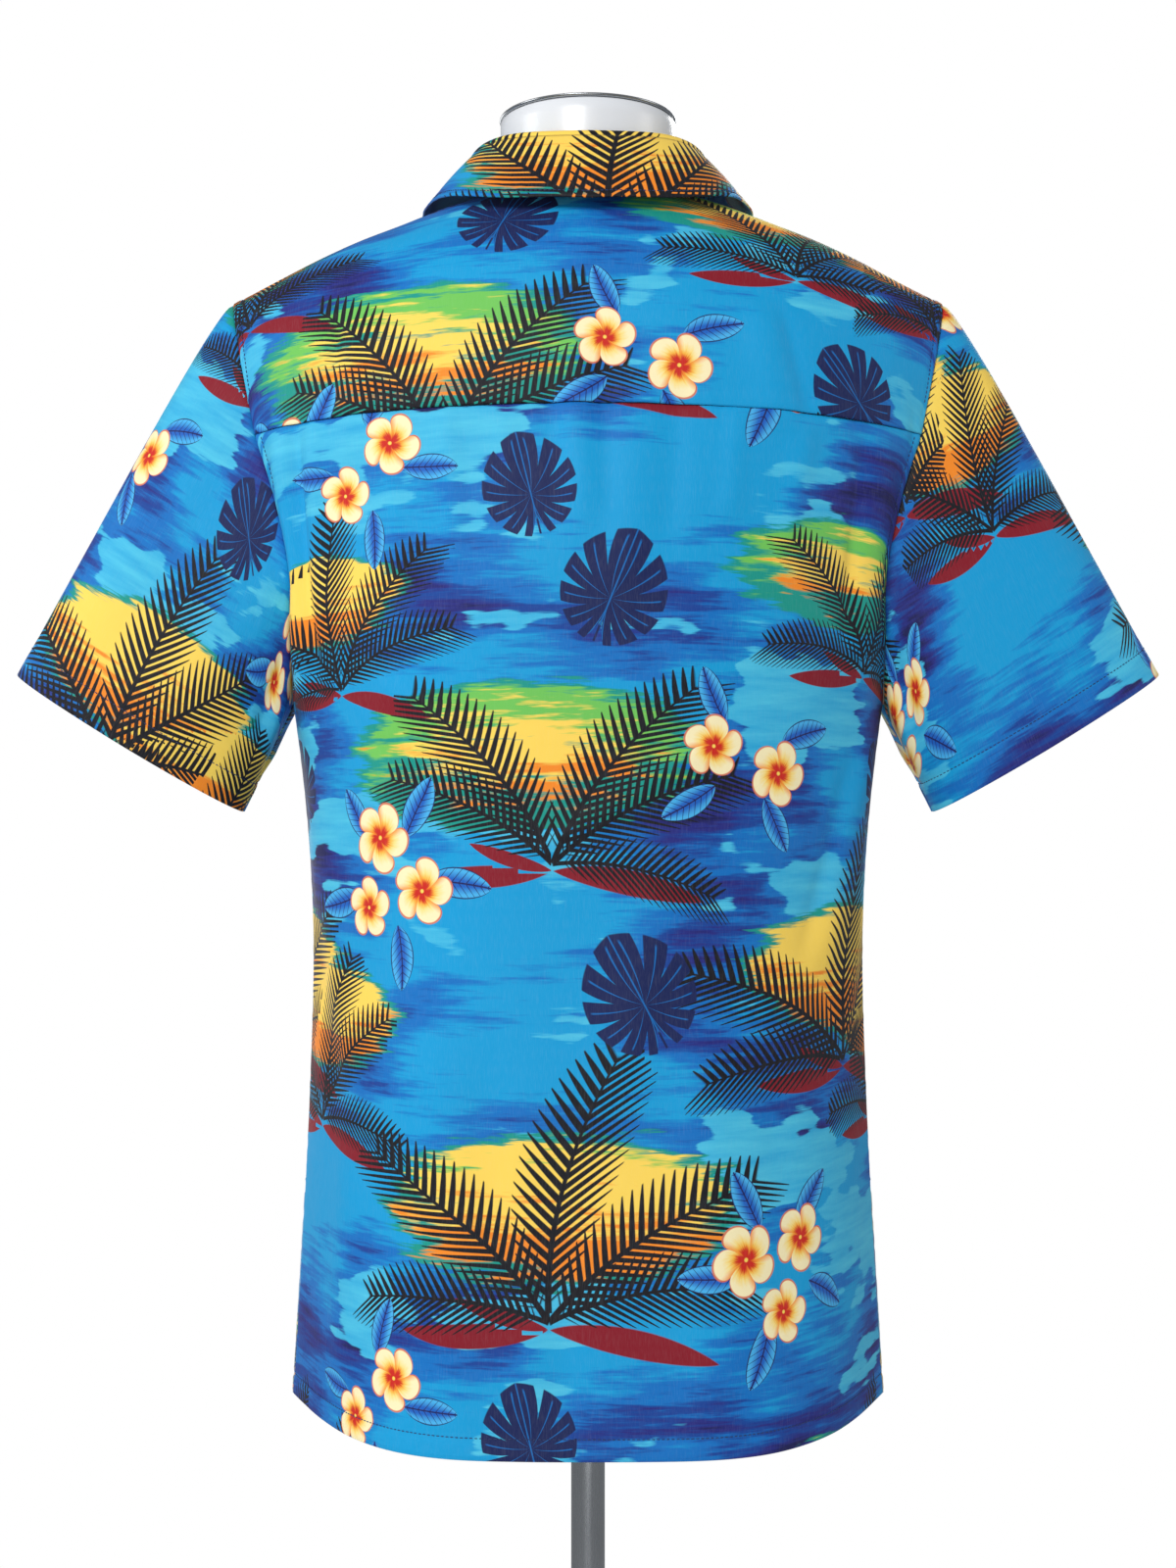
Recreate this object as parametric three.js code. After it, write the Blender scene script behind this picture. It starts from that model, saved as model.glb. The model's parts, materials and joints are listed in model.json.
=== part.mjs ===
// A short-sleeved camp shirt worn by a limbless dress form on a pole and a round base.
// Millimetres, +Z up. The shirt's front faces -Y, and the wearer's left is +X.
import * as THREE from "three";

// Cloth and seams
const CLOTH = 1.4;
const SEAM_GAP = 0.3;
const LAYER = CLOTH + SEAM_GAP + 0.1;

// Heights of the shirt's main lines
const HEM_Z = 670;
const UNDERARM_Z = 1118;
const YOKE_Z = 1292;
const YOKE_SEAM_DROP = 5;

// The shoulder's tip, where the yoke, the sleeve and the ridge meet
const SHOULDER_X = 229;
const SHOULDER_Z = 1379;

// How far the armhole seam stands behind and before the side line
const ARMHOLE_DEPTH = { back: 48, front: 43 };
const ARMHOLE_SWELL = { back: 8, front: 9 };

// Fullness of the curve from the chest up over the shoulder
const SHOULDER_POWER = { back: 2.28, front: 1.6 };

// Neck seam, collar and the open front
const NECK_HALF_WIDTH = 72;
const NECK_BACK_REACH = 68;
const NECK_CENTRE_Y = -2;
const FRONT_SEAM = { neckX: 66.8, neckLevel: 1.786, armholeLevel: 1.62 };
const FRONT_LAP = 15;
const BREAK_LEVEL = 0.989;
const GORGE_SHARE = 0.3;

// Sleeve
const CUFF_OUTER = { x: 371, z: 1138 };
const CUFF_INNER = { x: 225, z: 1049 };
const CUFF_HALF_DEPTH = 45;
const SLEEVE_CAP_BULGE = 4.5;
const SLEEVE_BULGE_SKEW = 0.45;
const SLEEVE_BULGE_START = 0.35;
const SLEEVE_OUTWARD = new THREE.Vector3(0.87, 0, 0.5);

// Lapels: the outer corner and the notch, how the top edge bends there, and how far each shows
// down its roll line
const LAPEL_POINT = { x: 98, level: 1.4 };
const LAPEL_NOTCH = { x: 69, level: 1.525 };
const LAPEL_BEND = 0.4;
const LAPEL_LIFT = LAYER + 0.4;
const LAPEL_TOP_MARGIN = 0.012;
const LAPEL_END_WIDTH = 0.035;
const LAPEL_LOW_END = { left: 0.97, right: 0.77 };

// Buttons
const BUTTON_COUNT = 5;
const BUTTON_TOP_Z = 1274;
const BUTTON_SPACING = 104;
const BUTTON_RADIUS = 6;
const BUTTON_HEIGHT = 2.6;

// Dress form and stand
const FORM_BOTTOM_Z = 770;
const FORM_SEAT = 1.65;
const NECK_RADIUS = 57;
const NECK_TOP_Z = 1497;
const NECK_PLATE_HEIGHT = 2.2;
const POLE_RADIUS = 11;
const SOCKET_HEIGHT = 46;
const BASE_RADIUS = 188;
const BASE_HEIGHT = 10;
const METAL_GAP = 0.3;

// How many rows and columns each wall has
const HALF_COLUMNS = 13;
const LOWER_ROWS = 12;
const ARMHOLE_ROWS = 7;
const FRONT_COLUMNS = 11;
const SLEEVE_STATIONS = 8;
const SLEEVE_TOP_STEPS = 6;
const SLEEVE_STATION_SKEW = 1.25;
const YOKE_ARMHOLE_SPOKES = 6;
const YOKE_SEAM_SPOKES = 20;
const YOKE_RINGS = 7;
const FRONT_UPPER_ROWS = 7;
const LAPEL_ROWS = 8;
const LAPEL_COLUMNS = 5;
const COLLAR_HALF_STATIONS = 17;
const LEAF_STEPS = 4;
const FORM_SIDES = 36;

// The body's section at each height: half-width, depths, and how square and how pointed it is.
// Above the underarm the half-width is that of the whole section, which the armhole cuts short.
const bodySections = [
  { z: 670, halfWidth: 193, back: 137, front: 127, power: 4.0, taper: 1.1 },
  { z: 780, halfWidth: 186.5, back: 131, front: 124, power: 3.6, taper: 1.0 },
  { z: 870, halfWidth: 182, back: 127, front: 121, power: 3.3, taper: 0.9 },
  { z: 960, halfWidth: 179.5, back: 125, front: 119, power: 3.0, taper: 0.8 },
  { z: 1035, halfWidth: 182.5, back: 128, front: 120, power: 2.7, taper: 0.7 },
  { z: 1118, halfWidth: 192, back: 133, front: 122, power: 2.5, taper: 0.64 },
  { z: 1160, halfWidth: 200.5, back: 135, front: 122.5, power: 2.5, taper: 0.64 },
  { z: 1200, halfWidth: 206, back: 136, front: 122, power: 2.4, taper: 0.65 },
  { z: 1250, halfWidth: 220, back: 133, front: 118, power: 2.4, taper: 0.67 },
  { z: 1292, halfWidth: 236, back: 128, front: 112, power: 2.4, taper: 0.7 },
];

// Height of the shoulder's ridge over its distance from the centre
const shoulderLine = [
  { x: 0, z: 1456 },
  { x: 40, z: 1452 },
  { x: 72, z: 1443 },
  { x: 115, z: 1428 },
  { x: 149, z: 1415 },
  { x: 196, z: 1394 },
  { x: SHOULDER_X, z: SHOULDER_Z },
];

// Large soft folds: the panel's side, the place at the upper end, and the place at the lower end
const folds = [
  { side: 1, topX: 191, topZ: 1288, lowX: 178, lowZ: 1118, width: 9, height: 6.5 },
  { side: 1, topX: 170, topZ: 1282, lowX: 166, lowZ: 1165, width: 12, height: 3 },
  { side: 1, topX: -182, topZ: 1275, lowX: -172, lowZ: 1150, width: 11, height: 4.5 },
  { side: 1, topX: -174, topZ: 1092, lowX: -146, lowZ: 955, width: 13, height: 5 },
  { side: 1, topX: 172, topZ: 1050, lowX: 152, lowZ: 900, width: 15, height: 3 },
  { side: 1, topX: 8, topZ: 1330, lowX: 4, lowZ: 1215, width: 17, height: 3.5 },
  { side: 1, topX: -30, topZ: 1300, lowX: -24, lowZ: 1190, width: 14, height: 2.5 },
  { side: 1, topX: 138, topZ: 1345, lowX: 142, lowZ: 1262, width: 14, height: 3 },
  { side: 1, topX: -104, topZ: 1352, lowX: -116, lowZ: 1280, width: 13, height: 3 },
  { side: -1, topX: 178, topZ: 1270, lowX: 170, lowZ: 1120, width: 12, height: 5 },
  { side: -1, topX: -178, topZ: 1262, lowX: -168, lowZ: 1105, width: 13, height: 5.5 },
  { side: -1, topX: 96, topZ: 1215, lowX: 104, lowZ: 1010, width: 18, height: 3.5 },
  { side: -1, topX: -88, topZ: 1190, lowX: -102, lowZ: 960, width: 20, height: 3.5 },
];

// Collar from the centre back to its front end: where the neck seam and the leaf's edge lie in
// plan, how high the stand is, how round the fold is, and how far the leaf's edge stands off
const collarStations = [
  { neckX: 0, neckY: 66, edgeX: 0, edgeY: 94, stand: 31, round: 3.2, lift: 10 },
  { neckX: 37, neckY: 57, edgeX: 50, edgeY: 86, stand: 31, round: 3.2, lift: 9 },
  { neckX: 62, neckY: 33, edgeX: 82, edgeY: 60, stand: 30, round: 3.2, lift: 7 },
  { neckX: 72, neckY: -2, edgeX: 102, edgeY: 18, stand: 27, round: 3.4, lift: 5 },
  { neckX: 66.8, neckY: -27.5, edgeX: 107, edgeY: -14, stand: 20, round: 3.6, lift: 4.2 },
  { neckX: 54.5, neckY: -46.7, edgeX: 111, edgeY: -42, stand: 14, round: 3.7, lift: 3.8 },
  { neckX: 42.3, neckY: -65, edgeX: 112, edgeY: -67, stand: 10, round: 3.6, lift: 3.7 },
];

// Dress form: half-width and depths at each height
const formSections = [
  { z: 770, halfWidth: 150, back: 100, front: 92 },
  { z: 790, halfWidth: 164, back: 112, front: 102 },
  { z: 870, halfWidth: 158, back: 106, front: 100 },
  { z: 960, halfWidth: 148, back: 98, front: 98 },
  { z: 1040, halfWidth: 156, back: 102, front: 101 },
  { z: 1118, halfWidth: 168, back: 110, front: 104 },
  { z: 1200, halfWidth: 178, back: 116, front: 104 },
  { z: 1292, halfWidth: 192, back: 112, front: 98 },
];

function materialOf(color, roughness, metalness) {
  return new THREE.MeshStandardMaterial({ color, roughness, metalness });
}

const printedCloth = materialOf(0x1a8fb8, 0.7, 0);
const shellButton = materialOf(0xe9e4d6, 0.35, 0);
const formWhite = materialOf(0xeceae4, 0.5, 0);
const greyMetal = materialOf(0x8b8f93, 0.3, 0.9);

const shirtOnForm = new THREE.Group();

function addPiece(name, geometry, material) {
  const piece = new THREE.Mesh(geometry, material);
  piece.name = name;
  shirtOnForm.add(piece);
  return piece;
}

function clamp(value, low, high) {
  return Math.min(high, Math.max(low, value));
}

function lerp(from, to, share) {
  return from + (to - from) * share;
}

function smoothStep(low, high, value) {
  const t = clamp((value - low) / (high - low), 0, 1);
  return t * t * (3 - 2 * t);
}

// A smooth curve through one column of a table, with finite slopes at its ends.
function readTable(rows, key, column, at) {
  const last = rows.length - 1;
  let i = 0;
  while (i < last - 1 && at > rows[i + 1][key]) {
    i += 1;
  }
  const slope = (a, b) => (rows[b][column] - rows[a][column]) / (rows[b][key] - rows[a][key]);
  const span = rows[i + 1][key] - rows[i][key];
  const t = clamp((at - rows[i][key]) / span, 0, 1);
  const startSlope = slope(Math.max(i - 1, 0), i + 1) * span;
  const endSlope = slope(i, Math.min(i + 2, last)) * span;
  const t2 = t * t;
  const t3 = t2 * t;
  return (2 * t3 - 3 * t2 + 1) * rows[i][column] + (t3 - 2 * t2 + t) * startSlope
    + (3 * t2 - 2 * t3) * rows[i + 1][column] + (t3 - t2) * endSlope;
}

// A signed share of the half-width, from the centre to the edge, closer together near the edge.
const EDGE_ANGLE = THREE.MathUtils.degToRad(78);

function spread(s) {
  return Math.sin(s * EDGE_ANGLE) / Math.sin(EDGE_ANGLE);
}

function unspread(u) {
  return Math.asin(clamp(u, -1, 1) * Math.sin(EDGE_ANGLE)) / EDGE_ANGLE;
}

// One row's section: its depth and shape, where it ends, and what share of the whole section that is.
function sectionAt(nominalZ, sideName) {
  const read = (column) => readTable(bodySections, "z", column, nominalZ);
  const section = { depth: read(sideName), power: read("power"), taper: read("taper"), share: 1 };
  if (nominalZ > UNDERARM_Z) {
    const turn = Math.acos(clamp((YOKE_Z - nominalZ) / (YOKE_Z - UNDERARM_Z), 0, 1));
    const seamDepth = ARMHOLE_DEPTH[sideName] * Math.sin(turn)
      + ARMHOLE_SWELL[sideName] * Math.sin(2 * turn);
    const cut = Math.pow(seamDepth / section.depth, 1 / section.taper);
    section.share = Math.pow(1 - cut, 1 / section.power);
  }
  section.endX = read("halfWidth") * section.share;
  return section;
}

function sectionDepth(section, u) {
  const across = Math.abs(u) * section.share;
  return section.depth * Math.pow(Math.max(1 - Math.pow(across, section.power), 0), section.taper);
}

// How far a level over the yoke seam has risen towards the ridge, and how much depth is left there.
function shoulderTurn(level, sideName) {
  const turn = (clamp(level, 1, 2) - 1) * Math.PI / 2;
  const power = 2 / SHOULDER_POWER[sideName];
  return { rise: Math.pow(Math.sin(turn), power), fall: Math.pow(Math.max(Math.cos(turn), 0), power) };
}

function nominalHeight(level) {
  return lerp(HEM_Z, YOKE_Z, Math.min(level, 1));
}

function levelOf(nominalZ) {
  return (nominalZ - HEM_Z) / (YOKE_Z - HEM_Z);
}

// The smooth outer face. Level 0 is the hem, 1 the yoke seam's height, 2 the shoulder's ridge,
// and a level over 2 has passed over the ridge to the other side. Side is 1 behind, -1 in front.
function torso(s, level, side) {
  if (level > 2) {
    return torso(s, 4 - level, -side);
  }
  const sideName = side > 0 ? "back" : "front";
  const u = spread(s);
  const nominalZ = nominalHeight(level);
  const section = sectionAt(nominalZ, sideName);
  const y = sectionDepth(section, u);
  const pastUnderarm = clamp((nominalZ - UNDERARM_Z) / (YOKE_Z - UNDERARM_Z), 0, 1);
  const z = nominalZ - YOKE_SEAM_DROP * u * u * pastUnderarm;
  if (level <= 1) {
    return new THREE.Vector3(u * section.endX, side * y, z);
  }
  const { rise, fall } = shoulderTurn(level, sideName);
  const x = u * lerp(section.endX, SHOULDER_X, rise);
  const top = readTable(shoulderLine, "x", "z", Math.abs(x));
  return new THREE.Vector3(x, side * y * fall, lerp(z, top, rise));
}

const TINY = 0.004;

function normalOf(surface, s, level, side) {
  const alongS = surface(clamp(s + TINY, -1, 1), level, side)
    .sub(surface(clamp(s - TINY, -1, 1), level, side));
  const alongLevel = surface(s, level + TINY, side).sub(surface(s, Math.max(level - TINY, 0), side));
  const normal = alongS.cross(alongLevel).multiplyScalar(-side);
  const onSideLine = Math.abs(s) > 0.9999 && nominalHeight(level) <= UNDERARM_Z + 0.5;
  if (onSideLine) {
    normal.y = 0;
  }
  return normal.normalize();
}

// Folds die away just before the side line and the armhole.
function foldHeight(point, s, side) {
  let height = 0;
  for (const fold of folds) {
    if (fold.side !== side) {
      continue;
    }
    const along = (fold.topZ - point.z) / (fold.topZ - fold.lowZ);
    const fade = smoothStep(-0.18, 0.2, along) * smoothStep(1.18, 0.8, along);
    const away = (point.x - lerp(fold.topX, fold.lowX, along)) / fold.width;
    height += fold.height * fade * Math.exp(-away * away);
  }
  return height * smoothStep(1, 0.88, Math.abs(s));
}

// The cloth's outer face: the smooth face with its folds raised on it.
function cloth(s, level, side) {
  const crossed = level > 2;
  const base = torso(s, level, side);
  const height = foldHeight(base, s, crossed ? -side : side);
  return height < 0.01 ? base : base.addScaledVector(normalOf(torso, s, level, side), height);
}

function leftLap(point) {
  return LAYER * smoothStep(64, 34, point.x) * smoothStep(1390, 1340, point.z);
}

// The left front lies over the right one along the centre.
function leftFrontFace(s, level, side) {
  const point = cloth(s, level, side);
  return point.addScaledVector(normalOf(cloth, s, level, side), leftLap(point));
}

// Where a point of the plan lies on the upper body, as a share across and a level from the back.
const PLAN_ROUNDS = 8;

function placeInPlan(x, y) {
  const sideName = y >= 0 ? "back" : "front";
  const section = sectionAt(YOKE_Z, sideName);
  let level = 2;
  let u = 0;
  for (let i = 0; i < PLAN_ROUNDS; i += 1) {
    u = clamp(x / lerp(section.endX, SHOULDER_X, shoulderTurn(level, sideName).rise), -1, 1);
    const left = clamp(Math.abs(y) / sectionDepth(section, u), 0, 1);
    level = 1 + Math.acos(Math.pow(left, SHOULDER_POWER[sideName] / 2)) / (Math.PI / 2);
  }
  return { s: unspread(u), level: y >= 0 ? level : 4 - level };
}

// Joins faces into one closed body, and turns them outwards if they face in.
function solidFrom(points, faces) {
  const volume = faces.reduce((sum, [a, b, c]) => {
    const cross = new THREE.Vector3().crossVectors(points[b], points[c]);
    return sum + points[a].dot(cross);
  }, 0);
  const index = faces.flatMap(([a, b, c]) => (volume > 0 ? [a, b, c] : [a, c, b]));
  const geometry = new THREE.BufferGeometry();
  geometry.setFromPoints(points);
  geometry.setIndex(index);
  geometry.computeVertexNormals();
  return geometry;
}

function gridNormals(rows) {
  return rows.map((row, j) => row.map((point, i) => {
    const right = row[Math.min(i + 1, row.length - 1)];
    const left = row[Math.max(i - 1, 0)];
    const up = rows[Math.min(j + 1, rows.length - 1)][i];
    const down = rows[Math.max(j - 1, 0)][i];
    const across = right.clone().sub(left);
    return across.cross(up.clone().sub(down)).normalize();
  }));
}

// A wall between a grid of shown points and the same grid moved along its normals.
function wallFromGrid(rows, normals, offset) {
  const columns = rows[0].length;
  const back = rows.map((row, j) => row.map((point, i) => (
    point.clone().addScaledVector(normals[j][i], offset)
  )));
  const points = [...rows.flat(), ...back.flat()];
  const half = rows.length * columns;
  const at = (j, i) => j * columns + i;
  const faces = [];
  for (let j = 0; j + 1 < rows.length; j += 1) {
    for (let i = 0; i + 1 < columns; i += 1) {
      const [a, b, c, d] = [at(j, i), at(j, i + 1), at(j + 1, i + 1), at(j + 1, i)];
      faces.push([a, b, c], [a, c, d]);
      faces.push([half + a, half + c, half + b], [half + a, half + d, half + c]);
    }
  }
  const rim = [];
  for (let i = 0; i < columns; i += 1) {
    rim.push(at(0, i));
  }
  for (let j = 1; j < rows.length; j += 1) {
    rim.push(at(j, columns - 1));
  }
  for (let i = columns - 2; i >= 0; i -= 1) {
    rim.push(at(rows.length - 1, i));
  }
  for (let j = rows.length - 2; j > 0; j -= 1) {
    rim.push(at(j, 0));
  }
  rim.forEach((a, k) => {
    const b = rim[(k + 1) % rim.length];
    faces.push([b, a, half + a], [b, half + a, half + b]);
  });
  return solidFrom(points, faces);
}

// The corners of every facet between neighbouring rings.
function ringFacets(ringCount, sides) {
  const facets = [];
  for (let j = 0; j + 1 < ringCount; j += 1) {
    const low = j * sides;
    const high = low + sides;
    for (let i = 0; i < sides; i += 1) {
      const next = (i + 1) % sides;
      facets.push([low + i, low + next, high + next, high + i]);
    }
  }
  return facets;
}

// A closed body from rings of the same count, with a flat fan at each end.
function bodyFromRings(rings) {
  const sides = rings[0].length;
  const points = rings.flat();
  const faces = ringFacets(rings.length, sides).flatMap(([a, b, c, d]) => [[a, b, c], [a, c, d]]);
  for (const [start, flip] of [[0, true], [(rings.length - 1) * sides, false]]) {
    const middle = new THREE.Vector3();
    for (let i = 0; i < sides; i += 1) {
      middle.addScaledVector(points[start + i], 1 / sides);
    }
    points.push(middle);
    for (let i = 0; i < sides; i += 1) {
      const [a, b] = [start + i, start + (i + 1) % sides];
      faces.push(flip ? [b, a, points.length - 1] : [a, b, points.length - 1]);
    }
  }
  return solidFrom(points, faces);
}

// A tube with a wall: outer and inner rings joined at both ends.
function tubeWall(outer, inner) {
  const sides = outer[0].length;
  const count = outer.length * sides;
  const points = [...outer.flat(), ...inner.flat()];
  const faces = [];
  for (const [a, b, c, d] of ringFacets(outer.length, sides)) {
    faces.push([a, b, c], [a, c, d]);
    faces.push([count + a, count + c, count + b], [count + a, count + d, count + c]);
  }
  for (let i = 0; i < sides; i += 1) {
    const next = (i + 1) % sides;
    faces.push([next, i, count + i], [next, count + i, count + next]);
    const [a, b] = [count - sides + i, count - sides + next];
    faces.push([a, b, count + b], [a, count + b, count + a]);
  }
  return solidFrom(points, faces);
}

// Moves each edge of a grid in by half a seam gap, so that neighbours stand apart.
function trimEdges(rows) {
  const lastRow = rows.length - 1;
  const lastColumn = rows[0].length - 1;
  const trimmed = rows.map((row) => row.map((point) => point.clone()));
  const pull = (j, i, nextJ, nextI) => {
    const inward = rows[nextJ][nextI].clone().sub(rows[j][i]).normalize();
    trimmed[j][i].addScaledVector(inward, SEAM_GAP * 0.65);
  };
  for (let i = 0; i <= lastColumn; i += 1) {
    pull(0, i, 1, i);
    pull(lastRow, i, lastRow - 1, i);
  }
  for (let j = 0; j <= lastRow; j += 1) {
    pull(j, 0, j, 1);
    pull(j, lastColumn, j, lastColumn - 1);
  }
  return trimmed;
}

function wallOnSurface(surface, places) {
  const rows = places.map((row) => row.map(({ s, level, side }) => surface(s, level, side)));
  const normals = places.map((row) => (
    row.map(({ s, level, side }) => normalOf(surface, s, level, side))
  ));
  return wallFromGrid(trimEdges(rows), normals, -CLOTH);
}

// Levels of the rows from the hem to the yoke seam, closer together round the underarm.
const rowLevels = [];
for (let j = 0; j < LOWER_ROWS; j += 1) {
  rowLevels.push(levelOf(lerp(HEM_Z, UNDERARM_Z, j / LOWER_ROWS)));
}
for (let j = 0; j <= ARMHOLE_ROWS; j += 1) {
  const rise = 1 - Math.cos((j / ARMHOLE_ROWS) * Math.PI / 2);
  rowLevels.push(levelOf(lerp(UNDERARM_Z, YOKE_Z, rise)));
}

// Back panel
const backPlaces = rowLevels.map((level) => {
  const row = [];
  for (let i = -HALF_COLUMNS; i <= HALF_COLUMNS; i += 1) {
    row.push({ s: i / HALF_COLUMNS, level, side: 1 });
  }
  return row;
});
addPiece("back", wallOnSurface(cloth, backPlaces), printedCloth);

// Yoke: spokes from the neck seam out to the armholes and the back yoke seam
function neckPlace(angle) {
  const x = NECK_HALF_WIDTH * Math.sin(angle);
  const y = NECK_CENTRE_Y + NECK_BACK_REACH * Math.cos(angle);
  return placeInPlan(x, y);
}

// The share across that lies at x on a front row.
function placeAcross(x, level) {
  const section = sectionAt(nominalHeight(level), "front");
  const width = lerp(section.endX, SHOULDER_X, shoulderTurn(level, "front").rise);
  return { s: unspread(x / width), level };
}

const frontNeck = placeAcross(FRONT_SEAM.neckX, FRONT_SEAM.neckLevel);

const yokeRim = [];
for (let k = 0; k <= YOKE_ARMHOLE_SPOKES; k += 1) {
  const share = k / YOKE_ARMHOLE_SPOKES;
  yokeRim.push({ s: 1, level: lerp(4 - FRONT_SEAM.armholeLevel, 1, share) });
}
for (let k = 1; k < YOKE_SEAM_SPOKES; k += 1) {
  yokeRim.push({ s: lerp(1, -1, k / YOKE_SEAM_SPOKES), level: 1 });
}
for (let k = YOKE_ARMHOLE_SPOKES; k >= 0; k -= 1) {
  const share = k / YOKE_ARMHOLE_SPOKES;
  yokeRim.push({ s: -1, level: lerp(4 - FRONT_SEAM.armholeLevel, 1, share) });
}
const NECK_END_ANGLE = THREE.MathUtils.degToRad(112);
const yokePlaces = yokeRim.map((rim, k) => {
  const turn = lerp(NECK_END_ANGLE, -NECK_END_ANGLE, k / (yokeRim.length - 1));
  const ends = [0, yokeRim.length - 1];
  const neck = ends.includes(k)
    ? { s: Math.sign(turn) * frontNeck.s, level: 4 - frontNeck.level }
    : neckPlace(turn);
  const spoke = [];
  for (let j = 0; j <= YOKE_RINGS; j += 1) {
    const share = j / YOKE_RINGS;
    spoke.push({ s: lerp(neck.s, rim.s, share), level: lerp(neck.level, rim.level, share), side: 1 });
  }
  return spoke;
});
addPiece("yoke", wallOnSurface(cloth, yokePlaces), printedCloth);

// The line that the open front rolls back along, from its break to the neck seam.
function rollPlace(share) {
  const x = lerp(-FRONT_LAP, FRONT_SEAM.neckX, share);
  return placeAcross(x, lerp(BREAK_LEVEL, FRONT_SEAM.neckLevel, share));
}

// Fronts: level rows up to the break, then rows that tilt with the front yoke seam
const frontLevels = rowLevels.filter((level) => level < BREAK_LEVEL - 0.02);

function frontPlaces(hand) {
  const rows = [];
  const addRow = (inner, outer) => {
    const row = [];
    for (let i = 0; i <= FRONT_COLUMNS; i += 1) {
      const share = i / FRONT_COLUMNS;
      row.push({
        s: hand * lerp(inner.s, outer.s, share),
        level: lerp(inner.level, outer.level, share),
        side: -1,
      });
    }
    rows.push(row);
  };
  for (const level of frontLevels) {
    addRow(placeAcross(-FRONT_LAP, level), { s: 1, level });
  }
  for (let j = 0; j <= FRONT_UPPER_ROWS; j += 1) {
    const share = j / FRONT_UPPER_ROWS;
    addRow(rollPlace(share), { s: 1, level: lerp(BREAK_LEVEL, FRONT_SEAM.armholeLevel, share) });
  }
  return rows;
}
addPiece("front_left", wallOnSurface(leftFrontFace, frontPlaces(1)), printedCloth);
addPiece("front_right", wallOnSurface(cloth, frontPlaces(-1)), printedCloth);

// Facings turned out as lapels, lying on the fronts
function lapelPlaces(hand, lowEnd) {
  const notch = placeAcross(LAPEL_NOTCH.x, LAPEL_NOTCH.level);
  const point = placeAcross(LAPEL_POINT.x, LAPEL_POINT.level);
  const low = rollPlace(1 - lowEnd);
  const topShare = 1 - GORGE_SHARE - LAPEL_TOP_MARGIN;
  const topRoll = rollPlace(topShare);
  const rows = [];
  for (let j = 0; j <= LAPEL_ROWS; j += 1) {
    const down = j / LAPEL_ROWS;
    const inner = rollPlace(lerp(topShare, 1 - lowEnd, down));
    const lowOuter = { s: low.s + LAPEL_END_WIDTH, level: low.level };
    const row = [];
    for (let i = 0; i <= LAPEL_COLUMNS; i += 1) {
      const share = i / LAPEL_COLUMNS;
      const top = share < LAPEL_BEND
        ? { from: topRoll, to: notch, t: share / LAPEL_BEND }
        : { from: notch, to: point, t: (share - LAPEL_BEND) / (1 - LAPEL_BEND) };
      const topS = lerp(top.from.s, top.to.s, top.t);
      const topLevel = lerp(top.from.level, top.to.level, top.t);
      const outerS = lerp(point.s, lowOuter.s, down);
      const outerLevel = lerp(point.level, lowOuter.level, down);
      const keep = (1 - down) * (1 - down);
      const flatTopS = lerp(topRoll.s, point.s, share);
      const flatTopLevel = lerp(topRoll.level, point.level, share);
      row.push({
        s: hand * (lerp(inner.s, outerS, share) + keep * (topS - flatTopS)),
        level: lerp(inner.level, outerLevel, share) + keep * (topLevel - flatTopLevel),
        side: -1,
      });
    }
    rows.push(row);
  }
  return rows;
}

function addLapel(name, front, hand, lowEnd) {
  const face = (s, level, side) => {
    const point = front(s, level, side);
    return point.addScaledVector(normalOf(front, s, level, side), LAPEL_LIFT);
  };
  addPiece(name, wallOnSurface(face, lapelPlaces(hand, lowEnd)), printedCloth);
}
addLapel("facing_left", leftFrontFace, 1, LAPEL_LOW_END.left);
addLapel("facing_right", cloth, -1, LAPEL_LOW_END.right);

// Sleeves
// The share of the armhole's half that lies below the yoke seam, going round.
const YOKE_SEAM_SHARE = 0.62;

// Where the armhole seam runs: 0 at the underarm, 1 at the shoulder by the back, 2 back at the underarm.
function armhole(around) {
  const side = around <= 1 ? 1 : -1;
  const up = around <= 1 ? around : 2 - around;
  if (up <= YOKE_SEAM_SHARE) {
    const rise = 1 - Math.cos((up / YOKE_SEAM_SHARE) * Math.PI / 2);
    return cloth(1, levelOf(lerp(UNDERARM_Z, YOKE_Z, rise)), side);
  }
  return cloth(1, 1 + (up - YOKE_SEAM_SHARE) / (1 - YOKE_SEAM_SHARE), side);
}

// Places round the sleeve, which fall on the same points as the body's rows up to the yoke seam.
const halfPlaces = [];
for (let k = 0; k < ARMHOLE_ROWS; k += 1) {
  halfPlaces.push(YOKE_SEAM_SHARE * k / ARMHOLE_ROWS);
}
for (let k = 0; k < SLEEVE_TOP_STEPS; k += 1) {
  halfPlaces.push(lerp(YOKE_SEAM_SHARE, 1, k / SLEEVE_TOP_STEPS));
}
const sleevePlaces = [...halfPlaces, 1, ...halfPlaces.slice(1).reverse().map((up) => 2 - up)];

const cuffOuter = new THREE.Vector3(CUFF_OUTER.x, 0, CUFF_OUTER.z);
const cuffInner = new THREE.Vector3(CUFF_INNER.x, 0, CUFF_INNER.z);
const cuffCentre = cuffInner.clone().lerp(cuffOuter, 0.5);
const cuffAcross = cuffOuter.clone().sub(cuffCentre);

function cuff(around) {
  const angle = around * Math.PI;
  const point = cuffCentre.clone().addScaledVector(cuffAcross, -Math.cos(angle));
  point.y = CUFF_HALF_DEPTH * Math.sin(angle);
  return point;
}

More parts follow.
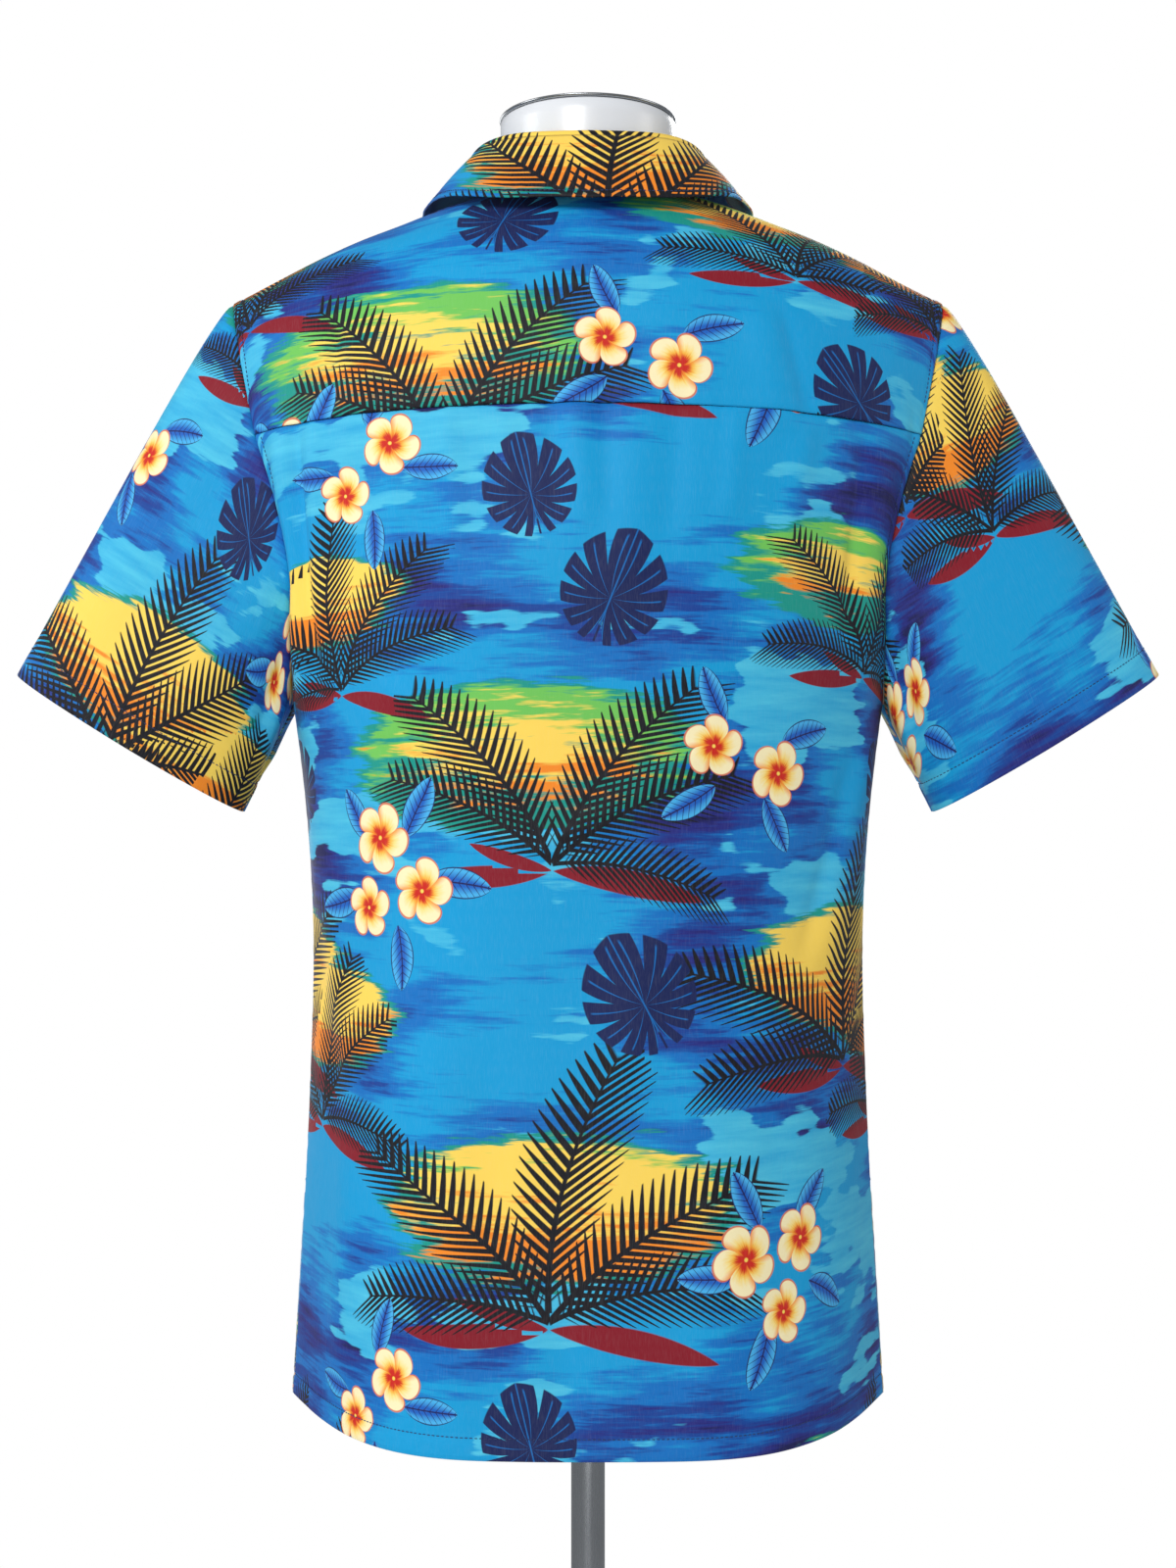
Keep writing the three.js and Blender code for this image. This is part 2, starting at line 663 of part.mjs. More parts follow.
function sleeveRing(along) {
  return sleevePlaces.map((around) => {
    const point = armhole(around).lerp(cuff(around), along);
    const high = smoothStep(SLEEVE_BULGE_START, 1, around <= 1 ? around : 2 - around);
    const bulge = SLEEVE_CAP_BULGE * Math.sin(Math.PI * Math.pow(along, SLEEVE_BULGE_SKEW)) * high;
    return point.addScaledVector(SLEEVE_OUTWARD, bulge);
  });
}

function ringNormals(rings) {
  const sides = rings[0].length;
  return rings.map((ring, j) => ring.map((point, i) => {
    const around = ring[(i + 1) % sides].clone().sub(ring[(i + sides - 1) % sides]);
    const next = rings[Math.min(j + 1, rings.length - 1)][i];
    const along = next.clone().sub(rings[Math.max(j - 1, 0)][i]);
    return around.cross(along).normalize();
  }));
}

function addSleeve(name, hand) {
  const outer = [];
  for (let j = 0; j <= SLEEVE_STATIONS; j += 1) {
    outer.push(sleeveRing(Math.pow(j / SLEEVE_STATIONS, SLEEVE_STATION_SKEW)));
  }
  outer[0].forEach((point) => {
    point.x += SEAM_GAP * 1.5;
  });
  const normals = ringNormals(outer);
  const middleZ = (UNDERARM_Z + SHOULDER_Z) / 2;
  const inner = outer.map((ring, j) => ring.map((point, i) => {
    if (j === 0) {
      const inward = new THREE.Vector3(0, -point.y, middleZ - point.z).normalize();
      return point.clone().addScaledVector(inward, CLOTH * 1.5);
    }
    return point.clone().addScaledVector(normals[j][i], -CLOTH);
  }));
  const mirror = (rings) => rings.map((ring) => (
    ring.map((point) => new THREE.Vector3(hand * point.x, point.y, point.z))
  ));
  addPiece(name, tubeWall(mirror(outer), mirror(inner)), printedCloth);
}
addSleeve("sleeve_left", 1);
addSleeve("sleeve_right", -1);

// Collar
const stationRows = collarStations.map((row, at) => ({ ...row, at }));

function planPoint(x, y) {
  const place = placeInPlan(x, y);
  return {
    point: cloth(place.s, place.level, 1),
    normal: normalOf(cloth, place.s, place.level, 1),
  };
}

function collarProfile(at) {
  const read = (column) => readTable(stationRows, "at", column, Math.abs(at));
  const hand = Math.sign(at) || 1;
  const neck = new THREE.Vector2(hand * read("neckX"), read("neckY"));
  const edge = new THREE.Vector2(hand * read("edgeX"), read("edgeY"));
  const out = edge.clone().sub(neck).normalize();
  const round = read("round");
  const stand = read("stand");
  const foot = planPoint(neck.x, neck.y).point;
  const points = [];
  const addAbove = (outward, upward) => {
    const offset = new THREE.Vector3(out.x * outward, out.y * outward, upward);
    points.push(foot.clone().add(offset));
  };
  addAbove(0, SEAM_GAP + 0.2);
  addAbove(0, (stand - round) * 0.55);
  for (let k = 0; k <= 4; k += 1) {
    const turn = (k / 4) * Math.PI;
    addAbove(round * (1 - Math.cos(turn)), stand - round + round * Math.sin(turn));
  }
  const start = neck.clone().addScaledVector(out, 2 * round);
  const startGround = planPoint(start.x, start.y).point;
  const startHeight = foot.z + stand - round - startGround.z;
  for (let k = 1; k <= LEAF_STEPS; k += 1) {
    const share = k / LEAF_STEPS;
    const plan = start.clone().lerp(edge, share);
    const ground = planPoint(plan.x, plan.y);
    const point = ground.point.clone().addScaledVector(ground.normal, read("lift") * share);
    point.z += startHeight * (1 - share);
    points.push(point);
  }
  return points;
}

const collarRows = [];
for (let k = -COLLAR_HALF_STATIONS; k <= COLLAR_HALF_STATIONS; k += 1) {
  collarRows.push(collarProfile((k / COLLAR_HALF_STATIONS) * (collarStations.length - 1)));
}
addPiece("collar", wallFromGrid(collarRows, gridNormals(collarRows), CLOTH), printedCloth);

// Buttons, turned profiles with a raised rim, standing on the left front.
// Each row is a share of the radius and of the height.
const buttonProfile = [
  { radius: 0, height: 0 },
  { radius: 0.8, height: 0 },
  { radius: 1, height: 0.45 },
  { radius: 0.9, height: 1 },
  { radius: 0.62, height: 0.7 },
  { radius: 0, height: 0.7 },
];

function addButton(number) {
  const z = BUTTON_TOP_Z - (number - 1) * BUTTON_SPACING;
  const level = levelOf(z);
  const place = leftFrontFace(0, level, -1);
  const normal = normalOf(leftFrontFace, 0, level, -1);
  const profile = buttonProfile.map(({ radius, height }) => (
    new THREE.Vector2(BUTTON_RADIUS * radius, BUTTON_HEIGHT * height)
  ));
  const button = addPiece(`button_${number}`, new THREE.LatheGeometry(profile, 16), shellButton);
  button.position.copy(place).addScaledVector(normal, SEAM_GAP + 0.1);
  button.quaternion.setFromUnitVectors(new THREE.Vector3(0, 1, 0), normal);
}
for (let number = 1; number <= BUTTON_COUNT; number += 1) {
  addButton(number);
}

// Dress form: the neck's column, then rings out over the shoulders and down the torso
const shoulderShares = [0.12, 0.3, 0.48, 0.64, 0.78, 0.89, 0.96, 1];
const formHeights = [1245, 1200, 1160, 1118, 1080, 1040, 1000, 960, 915, 870, 830, 795, 777, 770];
const FORM_ROUND = 2.3;
const SHOULDER_END = 0.72;
const STEEPEST_SEAT = 0.35;

function formLoopPoint(z, angle) {
  const halfWidth = readTable(formSections, "z", "halfWidth", z);
  const depth = readTable(formSections, "z", Math.sin(angle) >= 0 ? "back" : "front", z);
  const rounded = (value) => Math.sign(value) * Math.pow(Math.abs(value), 2 / FORM_ROUND);
  return new THREE.Vector3(halfWidth * rounded(Math.cos(angle)), depth * rounded(Math.sin(angle)), z);
}

function formTopPoint(share, angle) {
  const loop = formLoopPoint(YOKE_Z, angle);
  const x = lerp(NECK_RADIUS * Math.cos(angle), loop.x, share);
  const y = lerp(NECK_RADIUS * Math.sin(angle), loop.y, share);
  const place = placeInPlan(x, y);
  const normal = normalOf(torso, place.s, place.level, 1);
  const seat = (CLOTH + FORM_SEAT) / Math.max(normal.z, STEEPEST_SEAT);
  const top = torso(place.s, place.level, 1).z - seat;
  const past = clamp((share - SHOULDER_END) / (1 - SHOULDER_END), 0, 1);
  return new THREE.Vector3(x, y, lerp(YOKE_Z, top, Math.sqrt(1 - past * past)));
}

function neckTopPoint(angle) {
  return new THREE.Vector3(NECK_RADIUS * Math.cos(angle), NECK_RADIUS * Math.sin(angle), NECK_TOP_Z);
}

function formRing(pointAt) {
  const ring = [];
  for (let i = 0; i < FORM_SIDES; i += 1) {
    ring.push(pointAt((i / FORM_SIDES) * 2 * Math.PI));
  }
  return ring;
}

const formRings = [
  formRing(neckTopPoint),
  formRing((angle) => formTopPoint(0, angle)),
  ...shoulderShares.map((share) => formRing((angle) => formTopPoint(share, angle))),
  ...formHeights.map((z) => formRing((angle) => formLoopPoint(z, angle))),
];
addPiece("form_torso", bodyFromRings(formRings), formWhite);

// Turned parts on the upright axis, from rows of radius and height
function addTurned(name, rows, sides, material) {
  const profile = rows.map(([radius, z]) => new THREE.Vector2(radius, z));
  const turned = new THREE.LatheGeometry(profile, sides);
  turned.rotateX(Math.PI / 2);
  addPiece(name, turned, material);
}

const plateFoot = NECK_TOP_Z + METAL_GAP;
addTurned("form_neck_plate", [
  [0, plateFoot],
  [NECK_RADIUS + 0.2, plateFoot],
  [NECK_RADIUS + 0.7, plateFoot + NECK_PLATE_HEIGHT / 2],
  [NECK_RADIUS, plateFoot + NECK_PLATE_HEIGHT],
  [0, plateFoot + NECK_PLATE_HEIGHT],
], 40, greyMetal);

const poleFoot = BASE_HEIGHT + METAL_GAP;
addTurned("stand_pole", [
  [0, poleFoot],
  [POLE_RADIUS, poleFoot],
  [POLE_RADIUS, FORM_BOTTOM_Z - METAL_GAP],
  [0, FORM_BOTTOM_Z - METAL_GAP],
], 24, greyMetal);

const socketBore = POLE_RADIUS + METAL_GAP;
addTurned("stand_socket", [
  [socketBore, poleFoot],
  [POLE_RADIUS + 22, poleFoot],
  [POLE_RADIUS + 20, BASE_HEIGHT + 5],
  [POLE_RADIUS + 8, BASE_HEIGHT + 9],
  [POLE_RADIUS + 5, BASE_HEIGHT + SOCKET_HEIGHT],
  [socketBore, BASE_HEIGHT + SOCKET_HEIGHT],
  [socketBore, poleFoot],
], 24, greyMetal);

addTurned("stand_base", [
  [0, 0],
  [BASE_RADIUS - 2, 0],
  [BASE_RADIUS, 2],
  [BASE_RADIUS, BASE_HEIGHT - 3],
  [BASE_RADIUS - 3, BASE_HEIGHT],
  [0, BASE_HEIGHT],
], 48, greyMetal);

export default shirtOnForm;
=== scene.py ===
# Looks for a short-sleeved camp shirt on a limbless dress form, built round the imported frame.
# Shapes are worked out in millimetres and made in metres. +Z up, the front faces -Y, left is +X.
import json
import math

import bpy
import numpy as np
from mathutils import Matrix, Vector

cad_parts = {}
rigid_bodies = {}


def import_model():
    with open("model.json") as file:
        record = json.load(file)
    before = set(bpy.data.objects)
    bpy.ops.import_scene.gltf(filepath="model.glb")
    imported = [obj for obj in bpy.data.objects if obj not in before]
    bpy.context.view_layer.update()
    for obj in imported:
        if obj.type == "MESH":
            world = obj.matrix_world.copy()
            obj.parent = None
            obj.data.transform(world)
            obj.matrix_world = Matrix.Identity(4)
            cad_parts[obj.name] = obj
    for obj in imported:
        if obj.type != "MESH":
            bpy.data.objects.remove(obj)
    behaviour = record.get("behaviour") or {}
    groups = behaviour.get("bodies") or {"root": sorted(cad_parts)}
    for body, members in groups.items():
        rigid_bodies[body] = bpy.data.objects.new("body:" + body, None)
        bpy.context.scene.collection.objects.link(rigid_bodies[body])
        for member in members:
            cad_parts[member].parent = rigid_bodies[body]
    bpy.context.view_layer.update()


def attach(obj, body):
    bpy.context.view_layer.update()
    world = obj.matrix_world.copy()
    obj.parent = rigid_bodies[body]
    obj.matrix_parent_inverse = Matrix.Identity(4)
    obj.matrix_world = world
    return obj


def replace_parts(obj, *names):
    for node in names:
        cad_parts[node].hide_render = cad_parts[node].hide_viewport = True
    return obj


for thing in list(bpy.data.objects):
    bpy.data.objects.remove(thing)
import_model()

MM = 0.001
UNDERARM_Z = 1118
HEM_Z = 670
YOKE_Z = 1292
YOKE_SEAM_DROP = 5
SHOULDER_X = 229
SHOULDER_Z = 1379
LAYER = 1.8
ARMHOLE_DEPTH = {"back": 48, "front": 43}
ARMHOLE_SWELL = {"back": 8, "front": 9}
SHOULDER_POWER = {"back": 2.28, "front": 1.6}
NECK_HALF_WIDTH = 72
NECK_BACK_REACH = 68
NECK_CENTRE_Y = -2
NECK_SEAM_X = 66.8
NECK_SEAM_LEVEL = 1.786
FRONT_ARMHOLE_LEVEL = 1.62
FRONT_LAP = 15
BREAK_LEVEL = 0.989
GORGE_SHARE = 0.3
EDGE_ANGLE = math.radians(78)
YOKE_SEAM_SHARE = 0.62
CUFF_OUTER = (371, 0, 1138)
CUFF_INNER = (225, 0, 1049)
CUFF_HALF_DEPTH = 45

# Camera
CAMERA_PLACE = (0.0, 1.325, 1.067)
CAMERA_LENS = 46.6


# Curves and tables

def lerp(low, high, share):
    return low + (high - low) * share


def smooth_step(low, high, value):
    t = np.clip((value - low) / (high - low), 0, 1)
    return t * t * (3 - 2 * t)


def alike(first, second):
    """Two numbers or arrays as float arrays of one shape."""
    return np.broadcast_arrays(np.asarray(first, float), np.asarray(second, float))


def unit(vectors):
    return vectors / np.maximum(np.linalg.norm(vectors, axis=-1, keepdims=True), 1e-9)


class Table:
    """Rows of numbers under named columns, read as smooth curves over the first column."""

    def __init__(self, columns, rows):
        self.columns = columns.split()
        self.rows = np.array(rows, float)

    def read(self, column, at):
        keys = self.rows[:, 0]
        values = self.rows[:, self.columns.index(column)]
        last = len(keys) - 1
        before = np.maximum(np.arange(last + 1) - 1, 0)
        after = np.minimum(np.arange(last + 1) + 1, last)
        slopes = (values[after] - values[before]) / (keys[after] - keys[before])
        i = np.searchsorted(keys[1:last], at, side="left")
        span = keys[i + 1] - keys[i]
        t = np.clip((at - keys[i]) / span, 0, 1)
        t2, t3 = t * t, t * t * t
        return ((2 * t3 - 3 * t2 + 1) * values[i] + (t3 - 2 * t2 + t) * slopes[i] * span
                + (3 * t2 - 2 * t3) * values[i + 1] + (t3 - t2) * slopes[i + 1] * span)


body_sections = Table("z half_width back front power taper", [
    (670, 193, 137, 127, 4.0, 1.1),
    (780, 186.5, 131, 124, 3.6, 1.0),
    (870, 182, 127, 121, 3.3, 0.9),
    (960, 179.5, 125, 119, 3.0, 0.8),
    (1035, 182.5, 128, 120, 2.7, 0.7),
    (1118, 192, 133, 122, 2.5, 0.64),
    (1160, 200.5, 135, 122.5, 2.5, 0.64),
    (1200, 206, 136, 122, 2.4, 0.65),
    (1250, 220, 133, 118, 2.4, 0.67),
    (1292, 236, 128, 112, 2.4, 0.7),
])

shoulder_line = Table("x z", [
    (0, 1456), (40, 1452), (72, 1443), (115, 1428), (149, 1415), (196, 1394), (SHOULDER_X, SHOULDER_Z),
])

collar_stations = Table("at neck_x neck_y edge_x edge_y stand round lift", [
    (0, 0, 66, 0, 94, 31, 3.2, 10),
    (1, 37, 57, 50, 86, 31, 3.2, 9),
    (2, 62, 33, 82, 60, 30, 3.2, 7),
    (3, 72, -2, 102, 18, 27, 3.4, 5),
    (4, 66.8, -27.5, 107, -14, 20, 3.6, 4.2),
    (5, 54.5, -46.7, 111, -42, 14, 3.7, 3.8),
    (6, 42.3, -65, 112, -67, 10, 3.6, 3.7),
])

form_sections = Table("z half_width back front", [
    (770, 150, 100, 92),
    (790, 164, 112, 102),
    (870, 158, 106, 100),
    (960, 148, 98, 98),
    (1040, 156, 102, 101),
    (1118, 168, 110, 104),
    (1200, 178, 116, 104),
    (1292, 192, 112, 98),
])

# Folds: the panel's side (1 behind, -1 in front), where each starts and ends, how wide and how high.
# A height under 0 is a trough.
FOLD_COLUMNS = "side top_x top_z low_x low_z width height".split()
folds = [
    (1, 191, 1288, 178, 1118, 9, 6.5),
    (1, 170, 1282, 166, 1165, 12, 3),
    (1, -182, 1275, -172, 1150, 11, 4.5),
    (1, -174, 1092, -146, 955, 13, 5),
    (1, 172, 1050, 152, 900, 15, 3),
    (1, 8, 1330, 4, 1215, 17, 3.5),
    (1, -30, 1300, -24, 1190, 14, 2.5),
    (1, 138, 1345, 142, 1262, 14, 3),
    (1, -104, 1352, -116, 1280, 13, 3),
    (-1, 178, 1270, 170, 1120, 12, 5),
    (-1, -178, 1262, -168, 1105, 13, 5.5),
    (-1, 96, 1215, 104, 1010, 18, 3.5),
    (-1, -88, 1190, -102, 960, 20, 3.5),
]

# Finer creases that lie on those folds and between them
creases = [
    (1, 179, 1282, 169, 1136, 3.6, -4.2),
    (1, 168, 1286, 160, 1170, 5, 1.6),
    (1, -168, 1272, -158, 1150, 4, -2.8),
    (1, 152, 1350, 155, 1296, 4.5, -2.1),
    (1, 128, 1352, 131, 1300, 6, 1.6),
    (1, 22, 1322, 18, 1225, 6, -1.9),
    (1, -8, 1316, -10, 1226, 6, -1.7),
    (1, -52, 1300, -48, 1215, 7, -1.6),
    (1, -118, 1350, -133, 1290, 5, -1.8),
    (1, -90, 1290, -84, 1225, 7, 1.7),
    (1, 84, 1288, 78, 1200, 7, 1.9),
    (1, 122, 1286, 112, 1196, 8, 2.2),
    (1, 142, 1284, 136, 1224, 6, -1.5),
    (1, -132, 1284, -118, 1206, 8, 1.9),
    (1, 50, 1284, 46, 1236, 5, 1.3),
    (1, -164, 1085, -134, 968, 6, -2.4),
    (1, -178, 1020, -158, 900, 8, 2.2),
    (1, 176, 990, 158, 870, 8, -1.9),
    (1, 120, 1130, 50, 1060, 14, 2.2),
    (1, 128, 1096, 70, 1030, 10, -1.6),
    (1, -70, 1090, 20, 1030, 16, 1.8),
    (1, 96, 930, 84, 720, 18, 2.8),
    (1, 62, 900, 52, 740, 14, -1.7),
    (1, -70, 900, -82, 700, 18, 2.6),
    (1, -112, 880, -120, 730, 14, -1.8),
    (1, 20, 840, 14, 690, 16, -2.0),
    (1, 148, 840, 152, 710, 12, 2.0),
    (1, -40, 1010, -20, 880, 16, 1.6),
    (-1, 168, 1265, 160, 1140, 5, -2.0),
    (-1, -168, 1258, -158, 1135, 5, -2.2),
    (-1, 176, 1080, 146, 950, 9, 3.0),
    (-1, 160, 1064, 126, 944, 8, -1.8),
    (-1, -174, 1070, -138, 930, 9, 3.2),
    (-1, -156, 1050, -120, 930, 8, -1.8),
    (-1, 64, 1290, 40, 1160, 12, 2.4),
    (-1, -62, 1280, -46, 1150, 11, 2.2),
    (-1, 110, 1390, 120, 1300, 9, 2.2),
    (-1, -112, 1388, -124, 1300, 9, 2.1),
    (-1, 140, 1330, 134, 1190, 11, 2.0),
    (-1, -138, 1322, -136, 1196, 11, 2.1),
    (-1, 86, 920, 92, 700, 18, 2.8),
    (-1, 52, 860, 58, 720, 14, -1.7),
    (-1, -80, 900, -90, 700, 19, 2.7),
    (-1, -126, 860, -136, 720, 13, 1.9),
    (-1, 30, 1150, 40, 990, 9, 1.5),
    (-1, 26, 1040, 34, 900, 8, -1.2),
]


def spread(s):
    return np.sin(s * EDGE_ANGLE) / math.sin(EDGE_ANGLE)


def unspread(u):
    return np.arcsin(np.clip(u, -1, 1) * math.sin(EDGE_ANGLE)) / EDGE_ANGLE


def nominal_height(level):
    return lerp(HEM_Z, YOKE_Z, np.minimum(level, 1))


def level_of(nominal_z):
    return (nominal_z - HEM_Z) / (YOKE_Z - HEM_Z)


def section_at(nominal_z, name):
    depth = body_sections.read(name, nominal_z)
    power = body_sections.read("power", nominal_z)
    taper = body_sections.read("taper", nominal_z)
    turn = np.arccos(np.clip((YOKE_Z - nominal_z) / (YOKE_Z - UNDERARM_Z), 0, 1))
    seam_depth = ARMHOLE_DEPTH[name] * np.sin(turn) + ARMHOLE_SWELL[name] * np.sin(2 * turn)
    share = (1 - (np.maximum(seam_depth, 0) / depth) ** (1 / taper)) ** (1 / power)
    return depth, power, taper, share, body_sections.read("half_width", nominal_z) * share


def section_depth(section, u):
    depth, power, taper, share, _ = section
    return depth * np.maximum(1 - (np.abs(u) * share) ** power, 0) ** taper


def shoulder_turn(level, name):
    turn = (np.clip(level, 1, 2) - 1) * math.pi / 2
    power = 2 / SHOULDER_POWER[name]
    return np.sin(turn) ** power, np.maximum(np.cos(turn), 0) ** power


def torso_half(s, level, side):
    name = "back" if side > 0 else "front"
    u = spread(s)
    nominal_z = nominal_height(level)
    section = section_at(nominal_z, name)
    past_underarm = np.clip((nominal_z - UNDERARM_Z) / (YOKE_Z - UNDERARM_Z), 0, 1)
    z = nominal_z - YOKE_SEAM_DROP * u * u * past_underarm
    rise, fall = shoulder_turn(level, name)
    rise = np.where(level <= 1, 0, rise)
    fall = np.where(level <= 1, 1, fall)
    x = u * lerp(section[4], SHOULDER_X, rise)
    top = shoulder_line.read("z", np.abs(x))
    return np.stack([x, side * section_depth(section, u) * fall, lerp(z, top, rise)], axis=-1)


def torso(s, level, side):
    """The smooth outer face: level 0 is the hem, 1 the yoke seam, 2 the ridge, more is past the ridge."""
    s, level = alike(s, level)
    here = torso_half(s, np.minimum(level, 2), side)
    past = level > 2
    if past.any():
        there = torso_half(s, np.where(past, 4 - level, 2), -side)
        here = np.where(past[..., None], there, here)
    return here


TINY = 0.004


def normal_of(surface, s, level, side):
    s, level = alike(s, level)
    along_s = (surface(np.clip(s + TINY, -1, 1), level, side)
               - surface(np.clip(s - TINY, -1, 1), level, side))
    along_level = surface(s, level + TINY, side) - surface(s, np.maximum(level - TINY, 0), side)
    normal = np.cross(along_s, along_level) * -side
    on_side_line = (np.abs(s) > 0.9999) & (nominal_height(level) <= UNDERARM_Z + 0.5)
    normal[..., 1] = np.where(on_side_line, 0, normal[..., 1])
    return unit(normal)


def fold_height(table, point, s, side):
    height = np.zeros(np.shape(s))
    for row in table:
        fold = dict(zip(FOLD_COLUMNS, row))
        along = (fold["top_z"] - point[..., 2]) / (fold["top_z"] - fold["low_z"])
        fade = smooth_step(-0.18, 0.2, along) * smooth_step(1.18, 0.8, along)
        away = (point[..., 0] - lerp(fold["top_x"], fold["low_x"], along)) / fold["width"]
        height += np.where(side == fold["side"], fold["height"] * fade * np.exp(-away * away), 0)
    return height * smooth_step(1, 0.88, np.abs(s))


def raised_on_torso(tables):
    def surface(s, level, side):
        s, level = alike(s, level)
        base = torso(s, level, side)
        here = np.where(level > 2, -side, side)
        height = sum(fold_height(table, base, s, here) for table in tables)
        return base + normal_of(torso, s, level, side) * height[..., None]
    return surface


cloth = raised_on_torso([folds])
fine_cloth = raised_on_torso([folds, creases])


def left_lap(point):
    return LAYER * smooth_step(64, 34, point[..., 0]) * smooth_step(1390, 1340, point[..., 2])


def lapped(surface):
    def lapped_surface(s, level, side):
        point = surface(s, level, side)
        return point + normal_of(surface, s, level, side) * left_lap(point)[..., None]
    return lapped_surface


def place_in_plan(x, y):
    """The share across and the level, counted from the back, of a point of the plan."""
    x, y = alike(x, y)
    found = []
    for name in ("back", "front"):
        section = section_at(np.float64(YOKE_Z), name)
        level = np.full(x.shape, 2.0)
        for _ in range(8):
            u = np.clip(x / lerp(section[4], SHOULDER_X, shoulder_turn(level, name)[0]), -1, 1)
            left = np.clip(np.abs(y) / section_depth(section, u), 0, 1)
            level = 1 + np.arccos(left ** (SHOULDER_POWER[name] / 2)) / (math.pi / 2)
        found.append((unspread(u), level))
    (back_s, back_level), (front_s, front_level) = found
    return np.where(y >= 0, back_s, front_s), np.where(y >= 0, back_level, 4 - front_level)


def share_across(x, level):
    """The share across that lies at x on a front row."""
    section = section_at(nominal_height(level), "front")
    rise = np.where(level <= 1, 0, shoulder_turn(level, "front")[0])
    return unspread(x / lerp(section[4], SHOULDER_X, rise))


def share_at(x, level):
    return float(share_across(x, np.float64(level)))


def roll_place(share):
    level = lerp(BREAK_LEVEL, NECK_SEAM_LEVEL, share)
    return share_across(lerp(-FRONT_LAP, NECK_SEAM_X, share), level), level


# Small relief

def ripple(along, seed, length):
    """An uneven ripple from -1 to 1 whose waves are about one length long."""
    draw = np.random.RandomState(seed)
    total = np.zeros(np.shape(along))
    for stretch in (0.8, 1.0, 1.37, 2.1):
        total += np.sin(2 * math.pi * along / (length * stretch) + draw.uniform(0, 6.28))
    return total / 4


def unevenness(u, v, seed):
    """Soft uneven hills over the flat cloth, 47 to 150 mm long."""
    draw = np.random.RandomState(seed)
    total = np.zeros(np.shape(u))
    for size in (150, 110, 84, 62, 47):
        angle = draw.uniform(-0.6, 0.6)
        along = u * math.cos(angle) + v * math.sin(angle) * 0.45
        total += np.sin(2 * math.pi * along / size + draw.uniform(0, 6.28)) * size / 150
    return total / 3


# Meshes

def spaced(low, high, count, margin):
    """Even steps from low to high, with one close step of the given share at each end."""
    inside = np.linspace(margin, 1 - margin, count)
    return lerp(low, high, np.concatenate([[0], inside, [1]]))


def lengths_along(grid, axis):
    """The length run so far along each line of a grid."""
    steps = np.linalg.norm(np.diff(grid, axis=axis), axis=-1)
    start = np.zeros_like(np.take(steps, [0], axis=axis))
    return np.concatenate([start, np.cumsum(steps, axis=axis)], axis=axis)


class Edges:
    """How far each point of a grid lies from the first and last row and column, and along them."""

    def __init__(self, grid):
        self.up = lengths_along(grid, 0)
        self.across = lengths_along(grid, 1)
        self.down = self.up[-1:] - self.up
        self.back = self.across[:, -1:] - self.across


def seam_dip(away, depth=0.9, reach=1.6):
    """The little valley that a seam pulls into the cloth beside it."""
    return -depth * np.exp(-(away / reach) ** 2)


def puckers(away, along, seed, height=0.35, reach=9, length=11):
    return height * ripple(along, seed, length) * np.exp(-away / reach)


def turned_hem(away, along, seed, width, height=0.45):
    """A turned-up hem: two layers below its stitching, with a groove and slanting puckers there."""
    folded = height * smooth_step(width + 1.2, width - 1.2, away)
    groove = -0.55 * np.exp(-((away - width) / 1.3) ** 2)
    slant = 0.28 * ripple(along + 0.8 * away, seed, 9) * np.exp(-((away - width) / 7) ** 2)
    return folded + groove + slant


def make_mesh(name, points, faces, material):
    """A smooth mesh of one material, from points in millimetres."""
    mesh = bpy.data.meshes.new(name)
    mesh.from_pydata((np.asarray(points, float) * MM).tolist(), [], faces)
    mesh.materials.append(material)
    mesh.polygons.foreach_set("use_smooth", np.ones(len(faces), bool))
    mesh.update()
    return mesh


def tube_faces(first, rings, sides):
    """The side faces of a tube of rings, whose points are counted from first."""
    faces = []
    for r in range(rings - 1):
        for k in range(sides):
            a, b = first + r * sides + k, first + r * sides + (k + 1) % sides
            faces.append((a, b, b + sides, a + sides))
    return faces


def closed_tube(first, rings, sides):
    """The faces of such a tube with its two flat ends, which come last."""
    last = first + (rings - 1) * sides
    ends = [tuple(first + k for k in reversed(range(sides))), tuple(last + k for k in range(sides))]
    return tube_faces(first, rings, sides) + ends


def new_object(name, mesh):
    piece = bpy.data.objects.new(name, mesh)
    bpy.context.scene.collection.objects.link(piece)
    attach(piece, "root")
    return piece


def shell_arrays(shown, normals, thickness):
    """Points and faces of a wall under a shown grid, with its edges rounded over."""
    rows, columns = shown.shape[:2]
    rim = np.zeros((rows, columns), bool)
    rim[[0, -1]] = True
    rim[:, [0, -1]] = True
    pull = np.where(rim, 0.3, 0.0)[..., None] * thickness
    points = np.concatenate([(shown - normals * pull).reshape(-1, 3),
                             (shown - normals * (thickness - pull)).reshape(-1, 3)])
    j, i = np.meshgrid(np.arange(rows - 1), np.arange(columns - 1), indexing="ij")
    a = (j * columns + i).ravel()
    outer = np.stack([a, a + 1, a + columns + 1, a + columns], axis=1)
    half = rows * columns
    inner = outer[:, ::-1] + half
    ring = np.concatenate([
        np.arange(columns - 1),
        np.arange(rows - 1) * columns + columns - 1,
        (rows - 1) * columns + np.arange(columns - 1, 0, -1),
        np.arange(rows - 1, 0, -1) * columns,
    ])
    after = np.roll(ring, -1)
    edge = np.stack([after, ring, ring + half, after + half], axis=1)
    return points, outer, inner, edge


# The print, as a repeat of motifs laid out on the flat cloth, in millimetres

REPEAT = (470, 560)

